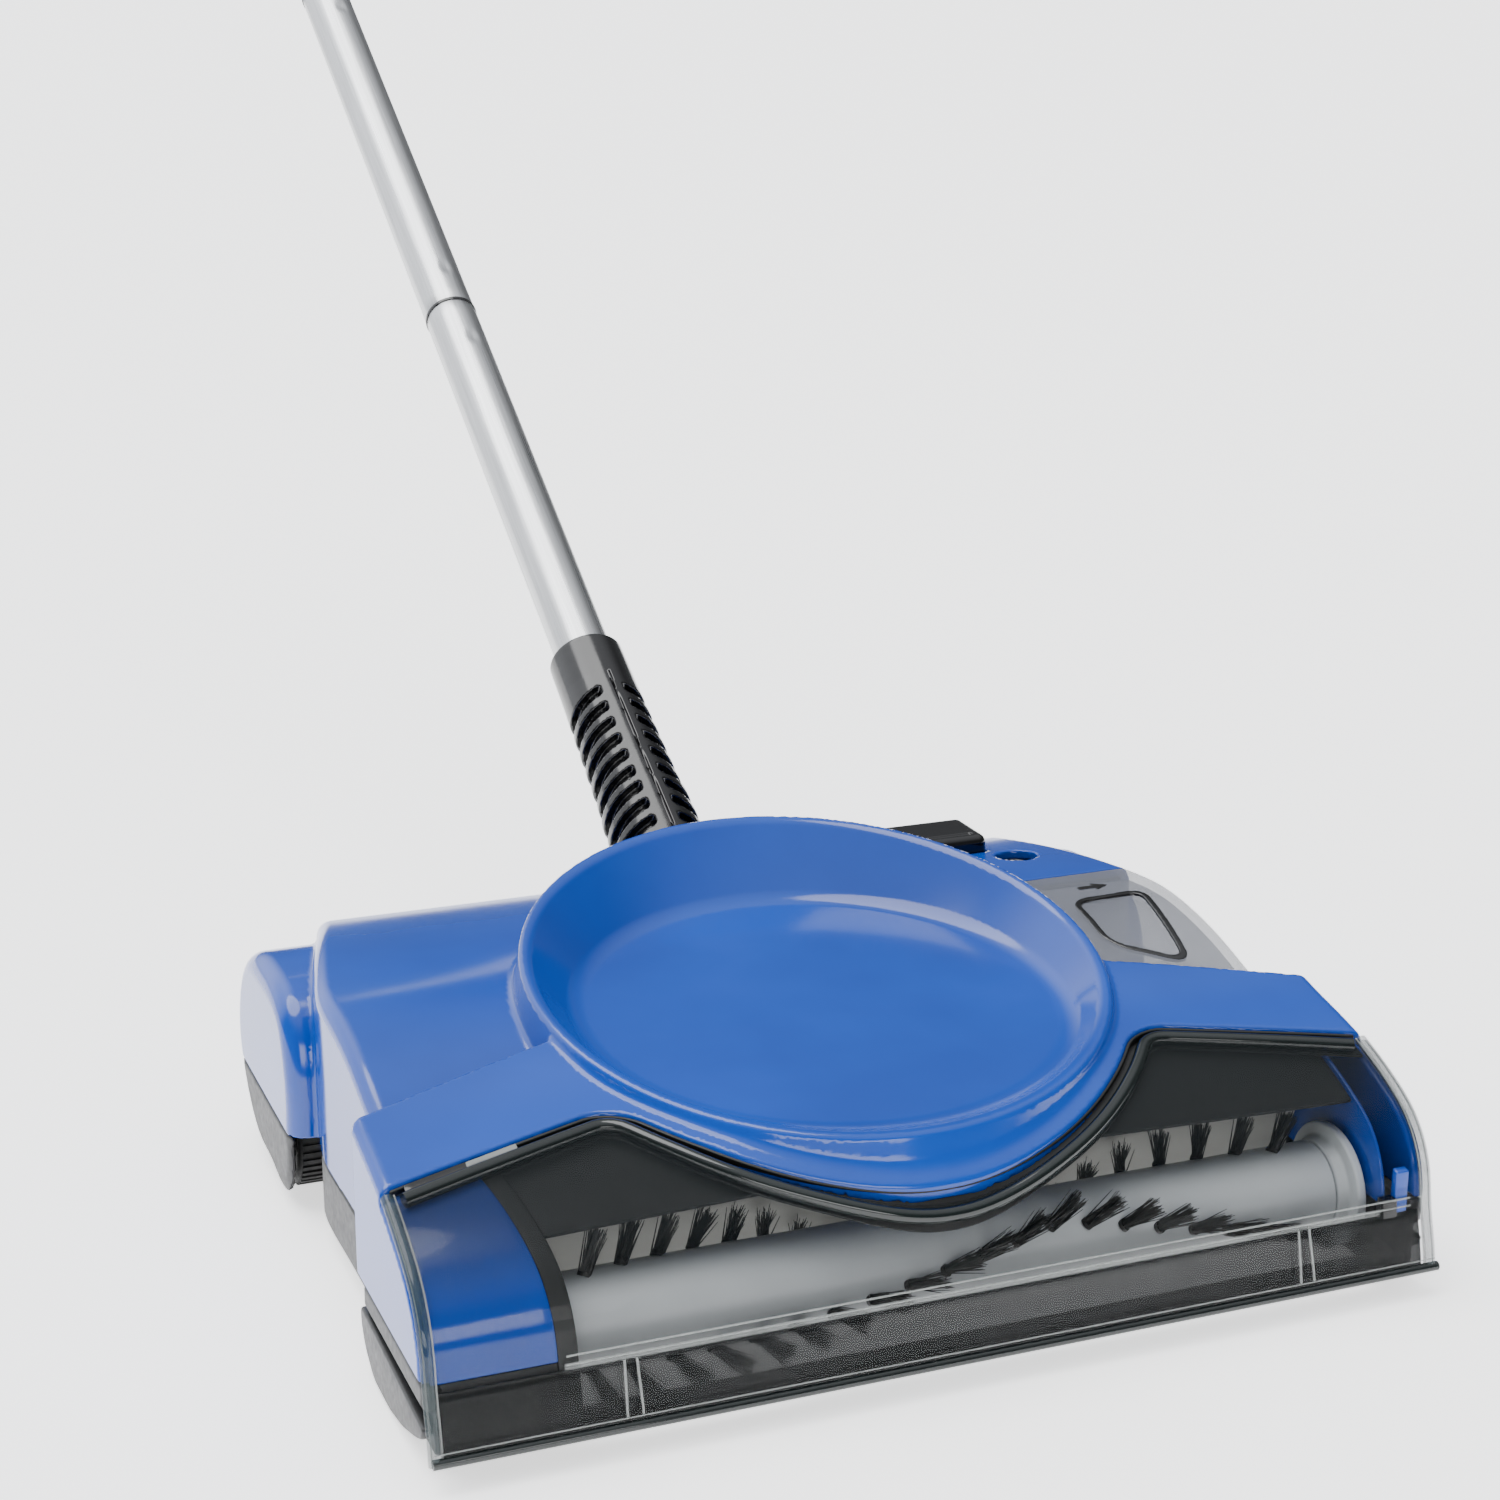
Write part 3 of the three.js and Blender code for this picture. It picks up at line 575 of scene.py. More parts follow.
def frontSheet(name, across, angle, outer, inner, material, bevel=0.4):
    # a sheet that follows the front surface between two depths, given as grids of x and angle
    rows, columns = across.shape
    points = np.concatenate([frontPoint(across, angle, outer), frontPoint(across, angle, inner)])
    index = np.arange(rows * columns).reshape(rows, columns)
    skin = np.stack([index[:-1, :-1], index[1:, :-1], index[1:, 1:], index[:-1, 1:]], -1).reshape(-1, 4)
    rim = np.concatenate([index[0, :], index[1:, -1], index[-1, -2::-1], index[-2:0:-1, 0]])
    size = rows * columns
    faces = skin.tolist() + (skin[:, ::-1] + size).tolist()
    faces += [(a, b, b + size, a + size) for a, b in zip(rim, np.roll(rim, -1))]
    return meshPiece(name, points, faces, headPlace, material, bevel)


def grid(left, right, low, high, columns, rows):
    # grids of x and angle: the side limits may follow the angle, the ends may follow x
    s, t = np.meshgrid(np.linspace(0, 1, columns), np.linspace(0, 1, rows), indexing="ij")
    if callable(high):
        across = left + (right - left) * s
        return across, low + (high(across[:, 0])[:, None] - low) * t
    angle = low + (high - low) * t
    edges = [side(angle) if callable(side) else side for side in (left, right)]
    return edges[0] + (edges[1] - edges[0]) * s, angle


def areaGrid(xs, low, high, rows):
    # grids of x and angle between two offsets from the window's plan outline
    across, share = np.meshgrid(xs, np.linspace(0, 1, rows), indexing="ij")
    near, far = angleOfArea(xs, low)[:, None], angleOfArea(xs, high)[:, None]
    return across, near + (far - near) * share


def newTree(name, sockets):
    # a geometry tree with named inputs, {name: default}; the default's type gives the socket, None a material
    kinds = {float: "NodeSocketFloat", int: "NodeSocketInt", type(None): "NodeSocketMaterial"}
    tree = bpy.data.node_groups.new(name, "GeometryNodeTree")
    tree.interface.new_socket("Geometry", in_out="INPUT", socket_type="NodeSocketGeometry")
    for label, value in sockets.items():
        socket = tree.interface.new_socket(label, in_out="INPUT", socket_type=kinds[type(value)])
        if value is not None:
            socket.default_value = value
    tree.interface.new_socket("Geometry", in_out="OUTPUT", socket_type="NodeSocketGeometry")
    return tree, addNode(tree, "NodeGroupInput").outputs


def closeTree(tree, geometry, material):
    real = addNode(tree, "GeometryNodeRealizeInstances", {"Geometry": geometry})
    smooth = addNode(tree, "GeometryNodeSetShadeSmooth", {"Geometry": real.outputs[0]})
    painted = addNode(tree, "GeometryNodeSetMaterial", {"Geometry": smooth.outputs[0], "Material": material})
    addNode(tree, "NodeGroupOutput", {"Geometry": painted.outputs[0]})


def grownPiece(name, mesh, tree, values, sharp=50):
    # runs a geometry tree on a mesh and keeps the plain result
    piece = bpy.data.objects.new(name, mesh)
    bpy.context.scene.collection.objects.link(piece)
    modifier = piece.modifiers.new(tree.name, "NODES")
    modifier.node_group = tree
    for item in tree.interface.items_tree:
        if item.in_out == "INPUT" and item.name in values:
            modifier[item.identifier] = values[item.name]
    baked = bakedMesh(piece)
    piece.modifiers.clear()
    piece.data = baked
    baked.name = name
    baked.set_sharp_from_angle(angle=math.radians(sharp))
    return piece


def pathMesh(name, points, place=None, closed=False):
    mesh = bpy.data.meshes.new(name)
    count = len(points)
    edges = [(i, (i + 1) % count) for i in range(count if closed else count - 1)]
    mesh.from_pydata(np.asarray(points, float).tolist(), edges, [])
    mesh.transform(place or headPlace)
    return mesh


def makeBeadTree():
    # a round bead along a path
    tree, given = newTree("bead along a path", {"Radius": 0.001, "Sides": 12,
                                                "Material": None})
    path = addNode(tree, "GeometryNodeMeshToCurve", {"Mesh": given["Geometry"]})
    ring = addNode(tree, "GeometryNodeCurvePrimitiveCircle",
                   {"Resolution": given["Sides"], "Radius": given["Radius"]})
    bead = addNode(tree, "GeometryNodeCurveToMesh",
                   {"Curve": path.outputs[0], "Profile Curve": ring.outputs[0],
                                                     "Fill Caps": True})
    closeTree(tree, bead.outputs[0], given["Material"])
    return tree


beadTree = makeBeadTree()


def bead(name, points, radius, material, closed=False, place=None):
    return grownPiece(name, pathMesh(name, points, place, closed), beadTree,
                      {"Radius": radius / 1000, "Sides": 14, "Material": material})


# blue top shell
hood = fieldPiece("hood_shell", hoodField, (-161, -2, 27), (161, 264, 114), 1.25, headPlace, blueAbs, 0.36)
settle(hood, "head", "blue_gloss", "hood")

# clear front: sheet, rolled bead under the blue edge, thick rims, double ledge and dark lower band, a
# near-black sheet painted as the shade inside the chamber
window = {"side": 158.4, "top": -3.4, "bottom": 8.2, "depth": 2.0, "beadAt": -5.2, "beadRadius": 2.3,
          "rimRadius": 1.9, "rimAt": 157.3, "ledge": (31.2, 28.8), "band": 26.8, "roof": 60,
          "roofEnds": (-128, 143.2)}
ribPlaces = (-101, 113)


def makeWindow():
    xs = np.linspace(-window["side"], window["side"], 133)
    low = angleOfHeight(window["bottom"])
    across, angle = grid(xs[0], xs[-1], low, lambda x: angleOfArea(x, window["top"]), 133, 40)
    settle(frontSheet("window_sheet", across, angle, 0.25, 0.25 + window["depth"], smokedSheet), "head",
           "smoked_window", "front_window")
    inside = np.linspace(-153, 153, 150)
    line = frontPoint(inside, angleOfArea(inside, window["beadAt"]), 1.5)
    settle(bead("window_bead", line, window["beadRadius"], smokedBead), "head", "smoked_window")
    wide = np.linspace(-156, 156, 150)
    # near-black sheets under the groove and over the blue cut face: painted shade for the dark gap below the
    # blue edge
    for name, edge, depths in (("window_groove_shade", window["top"] - 4, (3.4, 4.6)),
                               ("window_gap_shade", -1.1, (1.1, 4.4))):
        settle(frontSheet(name, *areaGrid(wide, edge, 1.2, 5), *depths, linerBlack), "head", "dark_plastic")
    roofed = np.linspace(*window["roofEnds"], 130)
    across, share = np.meshgrid(roofed, np.linspace(0, 1, 12), indexing="ij")
    near, far = np.full((130, 1), angleOfHeight(window["roof"])), angleOfArea(roofed, -0.5)[:, None]
    near = np.minimum(near, far - 0.02)
    settle(frontSheet("chamber_roof", across, near + (far - near) * share, 5.2, 6.6, linerBlack), "head",
           "dark_plastic")
    for side, word in ((-1, "left"), (1, "right")):
        top = float(angleOfArea([side * window["rimAt"]], -2.4)[0])
        steps = np.linspace(low, top, 60)
        line = frontPoint(side * window["rimAt"], steps, 1.5)
        settle(bead("window_rim_" + word, line, window["rimRadius"], clearRim), "head", "smoked_window")
        # thin pale beads along each rim: painted highlights for the light refracted along the clear edge
        line = frontPoint(side * (window["rimAt"] - 2.0), steps, 0.7)
        settle(bead("window_glint_" + word, line, 0.3, brightRim), "head", "smoked_window")
        line = frontPoint(side * (window["rimAt"] + 0.9), steps[:-2], 1.0)
        settle(bead("window_outer_glint_" + word, line, 0.22, brightRim), "head", "smoked_window")
    # the double ledge: the real moulded step, drawn as pale beads whose brightness is a painted highlight
    across = np.linspace(-119, 151, 90)
    for i, z in enumerate(window["ledge"]):
        line = frontPoint(across, angleOfHeight(z), 0.3)
        settle(bead(f"window_ledge_{i + 1}", line, 0.3 - 0.06 * i, brightRim), "head", "smoked_window")
    xs, angle = grid(-119, 151, angleOfHeight(25.4), angleOfHeight(28.4), 60, 3)
    settle(frontSheet("window_ledge_strip", xs, angle, 2.5, 3.1, brightRim), "head", "smoked_window")
    xs, angle = grid(-155.2, 155.2, low, angleOfHeight(window["band"]), 60, 8)
    settle(frontSheet("window_band_shade", xs, angle, 2.4, 3.4, bandShadeSheet), "head", "smoked_window")
    lip = frontPoint(np.linspace(-158.2, 159.6, 80), angleOfHeight(8.9), 0.7)
    settle(bead("window_lip", lip, 1.5, smokedBead), "head", "smoked_window")
    # a thin pale line along the lip: painted highlight on the lip bead
    line = frontPoint(np.linspace(-157.5, 158.5, 80), angleOfHeight(11.6), 0.2)
    settle(bead("window_lip_line", line, 0.22, brightRim), "head", "smoked_window")
    # the slender ribs: real ribs, drawn as pale beads whose brightness is a painted highlight
    for i, x in enumerate(ribPlaces):
        for k, shift in enumerate((-1.7, 1.9)):
            steps = np.linspace(angleOfHeight(12), angleOfHeight(27.4), 12)
            line = frontPoint(np.linspace(x + shift, x + shift * 1.3, 12), steps[::-1], 0.2)
            settle(bead(f"window_rib_{i + 1}_{k + 1}", line, 0.4, brightRim), "head", "smoked_window")


makeWindow()
print("clear front made")

# the clip slot in the groove near the left end, with its clear tongue
clip = {"slot": (-152, -127), "tongue": (-133, -117)}


def makeClip():
    slot = areaGrid(np.linspace(*clip["slot"], 12), -3.2, -0.5, 3)
    settle(frontSheet("window_clip_slot", *slot, 0.6, 2.6, blackAbs), "head", "black_plastic")
    tongue = areaGrid(np.linspace(*clip["tongue"], 10), -3.4, -1.2, 3)
    settle(frontSheet("window_clip_tongue", *tongue, 0.1, 1.6, brightRim), "head", "smoked_window")


makeClip()

# blue belt cover on the left with its curved inner edge, and the black ring beside it
beltCover = {"left": -156.2, "top": -131.5, "bottom": -120.5, "ring": 6.0}


def coverEdge(angle):
    low, high = angleOfHeight(seamZ), 1.45
    share = np.clip((angle - low) / (high - low), 0, 1)
    return beltCover["bottom"] + (beltCover["top"] - beltCover["bottom"]) * share ** 1.7


def makeBeltCover():
    low = angleOfHeight(seamZ + 0.4)
    top = float(angleOfArea([-140.0], -3.0)[0])
    across, angle = grid(beltCover["left"], coverEdge, low, top, 14, 36)
    settle(frontSheet("belt_cover_panel", across, angle, 3.3, 5.3, blueAbs), "head", "blue_gloss",
           "belt_cover")
    ring = lambda angle: coverEdge(angle) + beltCover["ring"]
    across, angle = grid(coverEdge, ring, angleOfHeight(10), top, 5, 44)
    settle(frontSheet("belt_cover_ring", across, angle, 3.5, 9.5, linerBlack), "head", "dark_plastic")
    across, angle = grid(-155.4, -120, angleOfHeight(9.5), angleOfHeight(seamZ), 10, 6)
    settle(frontSheet("belt_cover_foot", across, angle, 4.4, 5.6, linerBlack), "head", "dark_plastic")
    outline = [tuple(p[1:]) for p in frontPoint(150.0, np.linspace(low, 1.55, 30), 4.2)]
    outline += [(66, 60), (66, seamZ + 0.4)]
    settle(plate("end_panel_right", outline, 143.6, 144.7, headPlace, blueAbs, 0.3), "head", "blue_gloss")
    tab = [(4.9, 26.5), (4.9, 40), (7.4, 40.6), (7.9, 26.5)]
    settle(plate("end_tab_right", tab, 146, 150.5, headPlace, blueAbs, 0.5), "head", "blue_gloss")
    hook = [(3.8, 25.6), (4.4, 31.6), (8, 31.6), (8, 25.6)]
    settle(plate("end_clip_right", hook, 141.5, 146.5, headPlace, blackAbs, 0.4), "head", "black_plastic")


makeBeltCover()

# chamber wall behind the roll: pale low down, with painted shade darkening it near its top edge
liner = {"inner": 27.4, "outer": 29.2, "left": -117.5, "right": 142.6, "from": -4, "to": 62}


def makeLiner():
    material, tree, bsdf, place = newMaterial("moulded light grey PP liner", Roughness=0.5, IOR=1.49)
    # polypropylene: a waxy pale grey, with painted shade darkening it higher up
    height = addNode(tree, "ShaderNodeSeparateXYZ", {"Vector": place}).outputs["Z"]
    share = addNode(tree, "ShaderNodeMapRange", {"Value": height, "From Min": 0.041, "From Max": 0.0495})
    coat(tree, bsdf, share.outputs["Result"], ("#b9b8b2", "#0c0f0f"), patches(tree, place, 1.5, 0, 1), 0.08)
    turn = np.radians(np.linspace(liner["from"], liner["to"], 40))
    outline = [(rollY + r * math.cos(a), rollZ + r * math.sin(a))
               for r, line in ((liner["inner"], turn), (liner["outer"], turn[::-1])) for a in line]
    settle(plate("chamber_liner", outline, liner["left"], liner["right"], headPlace, material, 0.3), "head",
           "dark_plastic")


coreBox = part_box("brush_core")
rollY = ((coreBox[0].y + coreBox[1].y) / 2 - lipY) * 1000
rollZ = (coreBox[0].z + coreBox[1].z) * 500
roll = {"radius": 14.3, "left": coreBox[0].x * 1000, "right": coreBox[1].x * 1000, "bore": 3.6,
        "flange": 19.5,
        "length": 14.2, "spacing": 11.8, "margin": 11, "lean": (0.50, 0.72, 0.36),
        "rows": {"a": [(-110, 263), (40, 140), (85, 178), (130, 216)],
                 "b": [(-110, 98), (-50, 42), (10, -40), (60, 28), (80, 52), (130, 100)]}}
makeLiner()


def makeRoll():
    place = crosswise(rollY, rollZ)
    r, bore = roll["radius"], roll["bore"]
    core = [(bore, roll["left"]), (r, roll["left"]), (r, roll["right"]), (bore, roll["right"])]
    settle(turned("roll_core", core, place, paleAbs, 96, 0.8), "brush", "pale_core", "brush_core")
    low, high = roll["left"] - 6.3, roll["left"] - 0.3
    f = roll["flange"]
    disc = [(bore, low), (f, low), (f, low + 2.6), (r + 1.6, low + 2.6), (r + 0.6, high), (bore, high)]
    settle(turned("roll_flange_left", disc, place, blackAbs, 96, 0.7), "brush", "black_plastic",
           "brush_flange_left")
    low, high = roll["right"] + 0.3, roll["right"] + 7.3
    disc = [(bore, low), (r + 0.4, low), (r + 1.2, high - 3.4), (f, high - 3.0), (f, high), (12, high),
            (11, high - 1.5), (7, high - 1.5), (6.2, high), (bore, high)]
    settle(turned("roll_flange_right", disc, place, paleAbs, 96, 0.8), "brush", "pale_core",
           "brush_flange_right")


def makeTuftTree():
    # at each point a plug and a fan of tapered filaments along the point's own direction
    tree, given = newTree("tufts", {"Filaments": 46, "Length": 0.01,
                                    "Spread": 0.3, "Thickness": 0.0003,
                                    "Hole": 0.002, "Material": None})
    thread = addNode(tree, "GeometryNodeMeshCone", {"Vertices": 3, "Radius Top": 0.00012,
                                                    "Radius Bottom": given["Thickness"],
                                                    "Depth": given["Length"]})
    corner = addNode(tree, "ShaderNodeCombineXYZ", {"X": given["Hole"], "Y": given["Hole"], "Z": 0.0})
    opposite = addNode(tree, "ShaderNodeVectorMath", {0: corner.outputs[0], 1: (-0.7, -0.7, 0)},
                       operation="MULTIPLY")
    nearer = addNode(tree, "ShaderNodeVectorMath", {0: corner.outputs[0], 1: (0.7, 0.7, 0)},
                     operation="MULTIPLY")
    spot = addNode(tree, "FunctionNodeRandomValue", {0: opposite.outputs[0], 1: nearer.outputs[0], "Seed": 4},
                   data_type="FLOAT_VECTOR")
    scatter = addNode(tree, "GeometryNodePoints", {"Count": given["Filaments"], "Position": spot.outputs[0]})
    lean = addNode(tree, "ShaderNodeCombineXYZ", {"X": given["Spread"], "Y": given["Spread"], "Z": 3.0})
    back = addNode(tree, "ShaderNodeVectorMath", {0: lean.outputs[0], 1: (-1, -0.6, 0)}, operation="MULTIPLY")
    ahead = addNode(tree, "ShaderNodeVectorMath", {0: lean.outputs[0], 1: (1, 0.6, 1)}, operation="MULTIPLY")
    tilt = addNode(tree, "FunctionNodeRandomValue", {0: back.outputs[0], 1: ahead.outputs[0], "Seed": 9},
                   data_type="FLOAT_VECTOR")
    size = addNode(tree, "FunctionNodeRandomValue", {2: 0.84, 3: 1.0, "Seed": 2}, data_type="FLOAT")
    fan = addNode(tree, "GeometryNodeInstanceOnPoints",
                  {"Points": scatter.outputs[0], "Instance": thread.outputs[0],
                   "Rotation": tilt.outputs[0], "Scale": size.outputs[1]})
    plug = addNode(tree, "GeometryNodeMeshCylinder",
                   {"Vertices": 14, "Radius": given["Hole"], "Depth": 0.0012})
    tuft = addNode(tree, "GeometryNodeJoinGeometry")
    tree.links.new(fan.outputs[0], tuft.inputs[0])
    tree.links.new(plug.outputs[0], tuft.inputs[0])
    tuftReal = addNode(tree, "GeometryNodeRealizeInstances", {"Geometry": tuft.outputs[0]})
    heading = addNode(tree, "GeometryNodeInputNamedAttribute", {"Name": "heading"}, data_type="FLOAT_VECTOR")
    aim = addNode(tree, "FunctionNodeAlignRotationToVector", {"Vector": heading.outputs[0]}, axis="Z")
    spin = addNode(tree, "FunctionNodeRandomValue", {2: 0.0, 3: 6.28, "Seed": 5}, data_type="FLOAT")
    about = addNode(tree, "ShaderNodeCombineXYZ", {"Z": spin.outputs[1]})
    twist = addNode(tree, "FunctionNodeEulerToRotation", {0: about.outputs[0]})
    facing = addNode(tree, "FunctionNodeRotateRotation", {0: aim.outputs[0], 1: twist.outputs[0]},
                     rotation_space="LOCAL")
    row = addNode(tree, "GeometryNodeInstanceOnPoints",
                  {"Points": given["Geometry"], "Instance": tuftReal.outputs[0],
                                                         "Rotation": facing.outputs[0]})
    closeTree(tree, row.outputs[0], given["Material"])
    return tree


def makeTufts():
    tree = makeTuftTree()
    xs = np.arange(roll["left"] + roll["margin"], roll["right"] - roll["margin"] + 1, roll["spacing"])
    side, out, along = roll["lean"]
    for word, line in roll["rows"].items():
        turn = np.radians(np.interp(xs, *np.array(line, float).T))
        base = np.stack([xs, rollY + roll["radius"] * np.cos(turn), rollZ + roll["radius"] * np.sin(turn)],
                        -1)
        heading = np.stack([side + 0.12 * np.sin(xs * 1.7), out * np.cos(turn) + along * np.sin(turn),
                            out * np.sin(turn) - along * np.cos(turn)], -1)
        mesh = bpy.data.meshes.new("tuft_row_" + word)
        mesh.from_pydata(base.tolist(), [], [])
        mesh.transform(headPlace)
        mesh.attributes.new("heading", "FLOAT_VECTOR", "POINT").data.foreach_set("vector", heading.ravel())
        values = {"Filaments": 64, "Length": roll["length"] / 1000, "Spread": 0.24, "Thickness": 0.0003,
                  "Material": nylon}
        settle(grownPiece("tuft_row_" + word, mesh, tree, values), "brush", "bristle",
               "bristle_strip_" + word)


makeRoll()
makeTufts()
print("roll made")

# charcoal chassis with its wheel wells, roll opening and side pocket for the cup
chassis = {"side": 158.6, "front": 6.8, "under": 6.0, "edge": 3.0, "top": seamZ - 0.15, "wall": 3.4}


def baseField(x, y, z):
    under = chassis["under"]
    frontPart = boxBody(x, y, z, (-chassis["side"], chassis["front"], under), (chassis["side"], 74, 60),
                        chassis["edge"])
    rear = roundMax(barrelBody(x, y, z), under - z, chassis["edge"])
    skin = roundMin(roundMin(frontPart, rear, 1.0), blockBody(x, y, z), 1.2)
    skin = roundMin(skin, boxBody(x, y, z, (-151, 4.2, 8.5), (151, 9.5, 12.7), 1.0), 0.5)
    width, slope = barrelSide(y)
    hollow = boxBody(x, y, z, (-143, 68, 9), (143, 256, 60), 2)
    hollow = np.maximum(hollow, (np.abs(x) - width) / np.hypot(1, slope) + chassis["wall"])
    skin = roundMax(skin, -hollow, 0.6)
    wide = boxBody(x, y, z, (-147.5, 80, 9), (147.5, 160, 60), 2)
    skin = roundMax(skin, -wide, 0.6)
    mouth = roundMin(boxBody(x, y, z, (-129, 9, -9), (143, 62, 60), 3),
                     boxBody(x, y, z, (-151, -9, 12.7), (151, 20, 60), 1), 0.5)
    skin = roundMax(skin, -mouth, 0.6)
    rearWell = boxBody(np.abs(x), y, z, (136.8, 165, -9), (154.5, 231, 50), 3)
    frontWell = boxBody(np.abs(x), y, z, (144.8, 38.5, -9), (153, 71, 60), 2)
    coverRecess = boxBody(np.abs(x), y, z, (155.3, 4, -9), (175, 77.5, 20.6), 1)
    pocket = boxBody(x, y, z, (130, 86, 9), (175, 176, 60), 2)
    bearing = boxBody(np.abs(x), y, z, (143, 6.5, 9), (153, 62, 60), 1)
    for cut in (rearWell, frontWell, coverRecess, pocket, bearing):
        skin = roundMax(skin, -cut, 0.6)
    return roundMax(skin, z - chassis["top"], 0.5)


base = fieldPiece("chassis", baseField, (-161, 0, 1), (161, 264, 30), 1.5, headPlace, charcoalAbs, 0.45)
settle(base, "head", "dark_plastic", "base_tray")

cornerCover = {"outline": [(6.9, 15.6), (40, 17.6), (76.3, 19.6), (76, 14), (72.5, 8), (63, 2), (45, 1.8),
                           (30, 4.2), (16, 8.6), (9, 11.6)],
               "thick": 3.0}
for side, word in ((-1, "left"), (1, "right")):
    outline = softened(cornerCover["outline"], 4, 6)
    low, high = sorted((side * (halfWidth - cornerCover["thick"]), side * (halfWidth - 0.1)))
    settle(plate("corner_cover_" + word, outline, low, high, headPlace, charcoalAbs, 0.8), "head",
           "dark_plastic",
           "corner_skirt_" + word)
print("chassis made")


def makeTreadTree():
    # cross ribs round a wheel whose axle lies along X
    tree, given = newTree("tread ribs", {"Count": 40, "Radius": 0.02,
                                         "Width": 0.01, "Rib": 0.0012,
                                         "Material": None})
    ring = addNode(tree, "GeometryNodeMeshCircle", {"Vertices": given["Count"], "Radius": given["Radius"]})
    upright = addNode(tree, "GeometryNodeTransform",
                      {"Geometry": ring.outputs[0], "Rotation": (0, math.pi / 2, 0)})
    size = addNode(tree, "ShaderNodeCombineXYZ", {"X": given["Width"], "Y": given["Rib"], "Z": given["Rib"]})
    rib = addNode(tree, "GeometryNodeMeshCube", {"Size": size.outputs[0]})
    out = addNode(tree, "GeometryNodeInputPosition")
    aim = addNode(tree, "FunctionNodeAlignRotationToVector", {"Vector": out.outputs[0]}, axis="Z",
                  pivot_axis="X")
    ribs = addNode(tree, "GeometryNodeInstanceOnPoints",
                   {"Points": upright.outputs[0], "Instance": rib.outputs[0],
                                                          "Rotation": aim.outputs[0]})
    hubs = addNode(tree, "GeometryNodeInstanceOnPoints",
                   {"Points": given["Geometry"], "Instance": ribs.outputs[0]})
    closeTree(tree, hubs.outputs[0], given["Material"])
    return tree


wheelShape = {"bore": 2.9, "hub": 0.42, "rim": 0.78, "dish": 1.6}
treadTree = makeTreadTree()


def makeWheel(name):
    low, high = [corner.copy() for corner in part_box(name)]
    radius = (high.z - low.z) * 500
    y, z = ((low.y + high.y) / 2 - lipY) * 1000, (low.z + high.z) * 500
    x0, x1 = low.x * 1000, high.x * 1000
    bore, dip = wheelShape["bore"], wheelShape["dish"]
    hub, rim = wheelShape["hub"] * radius, wheelShape["rim"] * radius
    tread = radius - 0.8
    profile = [(bore, x0), (hub, x0), (hub + 0.8, x0 + dip), (rim - 0.8, x0 + dip), (rim, x0 + 0.3),
               (tread - 1, x0 + 0.3), (tread, x0 + 1.2), (tread, x1 - 1.2), (tread - 1, x1 - 0.3),
               (rim, x1 - 0.3),
               (rim - 0.8, x1 - dip), (hub + 0.8, x1 - dip), (hub, x1), (bore, x1)]
    settle(turned(name + "_tyre", profile, crosswise(y, z), castRubber, 64, 0.5), name, "rubber", name)
    centre = pathMesh(name + "_tread", [((x0 + x1) / 2, y, z)])
    values = {"Count": round(radius * 2.2), "Radius": (radius - 0.75) / 1000, "Width": (x1 - x0 - 3) / 1000,
              "Rib": 0.0014, "Material": castRubber}
    settle(grownPiece(name + "_tread", centre, treadTree, values), name, "rubber")


for name in ("front_wheel_left", "front_wheel_right", "rear_wheel_left", "rear_wheel_right"):
    makeWheel(name)
print("wheels made")

# dust cup: hazy cover with a framed view panel, and the pan under it
cupShape = {"wall": 3.2, "seam": 57.3, "panel": [(108, 119), (130, 104.5), (138, 151.5), (110.5, 150)],
            "panelRound": 6, "panelDeep": 1.0, "frame": 1.2}


def planOutline(x, y, corners, r):
    result = None
    for (x0, y0), (x1, y1) in zip(corners, corners[1:] + corners[:1]):
        edge = ((x - x0) * (y1 - y0) - (y - y0) * (x1 - x0)) / math.hypot(x1 - x0, y1 - y0)
        result = edge if result is None else roundMax(result, edge, r)
    return result


def cupCoverField(x, y, z):
    skin = roundMax(barrelBody(x, y, z), np.maximum(cupArea(x, y, z), 40 - x), 0.8)
    shell = roundMax(skin, -(skin + cupShape["wall"]), 0.4)
    panel = planOutline(x, y, cupShape["panel"], cupShape["panelRound"])
    pocket = np.maximum(panel + 1.0, -(barrelSkin(x, y, z) + cupShape["panelDeep"]))
    shell = roundMax(shell, -pocket, 0.3)
    return roundMax(shell, cupShape["seam"] - z, 0.4)


def frameField(x, y, z):
    panel = planOutline(x, y, cupShape["panel"], cupShape["panelRound"])
    return roundMax(np.abs(panel) - cupShape["frame"], np.abs(barrelSkin(x, y, z) + 0.5) - 0.75, 0.5)


def panField(x, y, z):
    outer = boxBody(x, y, z, (-40, 86.5, 9), (150.2, 175.5, 90), 4)
    inner = boxBody(x, y, z, (-37.2, 89.3, 11.8), (147.4, 172.7, 99), 3)
    shell = roundMax(outer, -inner, 0.5)
    mouth = boxBody(x, y, z, (-28, 80, 22), (126, 92, 51), 3)
    return roundMax(roundMax(shell, -mouth, 0.4), z - 57, 0.5)


cover = fieldPiece("cup_cover", cupCoverField, (58, 82, 56), (152, 177, 88), 1.2, headPlace, smokySan, 0.5)
settle(cover, "dust_cup", "smoky_cup", "dust_cup_cover")
panelFrame = fieldPiece("cup_panel_frame", frameField, (104, 100, 70), (142, 156, 88), 0.7, headPlace,
                        blackAbs, 0.6)
settle(panelFrame, "dust_cup", "black_plastic")
pan = fieldPiece("cup_pan", panField, (-41, 85, 8), (151.5, 177, 58), 1.5, headPlace, smokySan, 0.4)
settle(pan, "dust_cup", "smoky_cup", "dust_cup_pan")


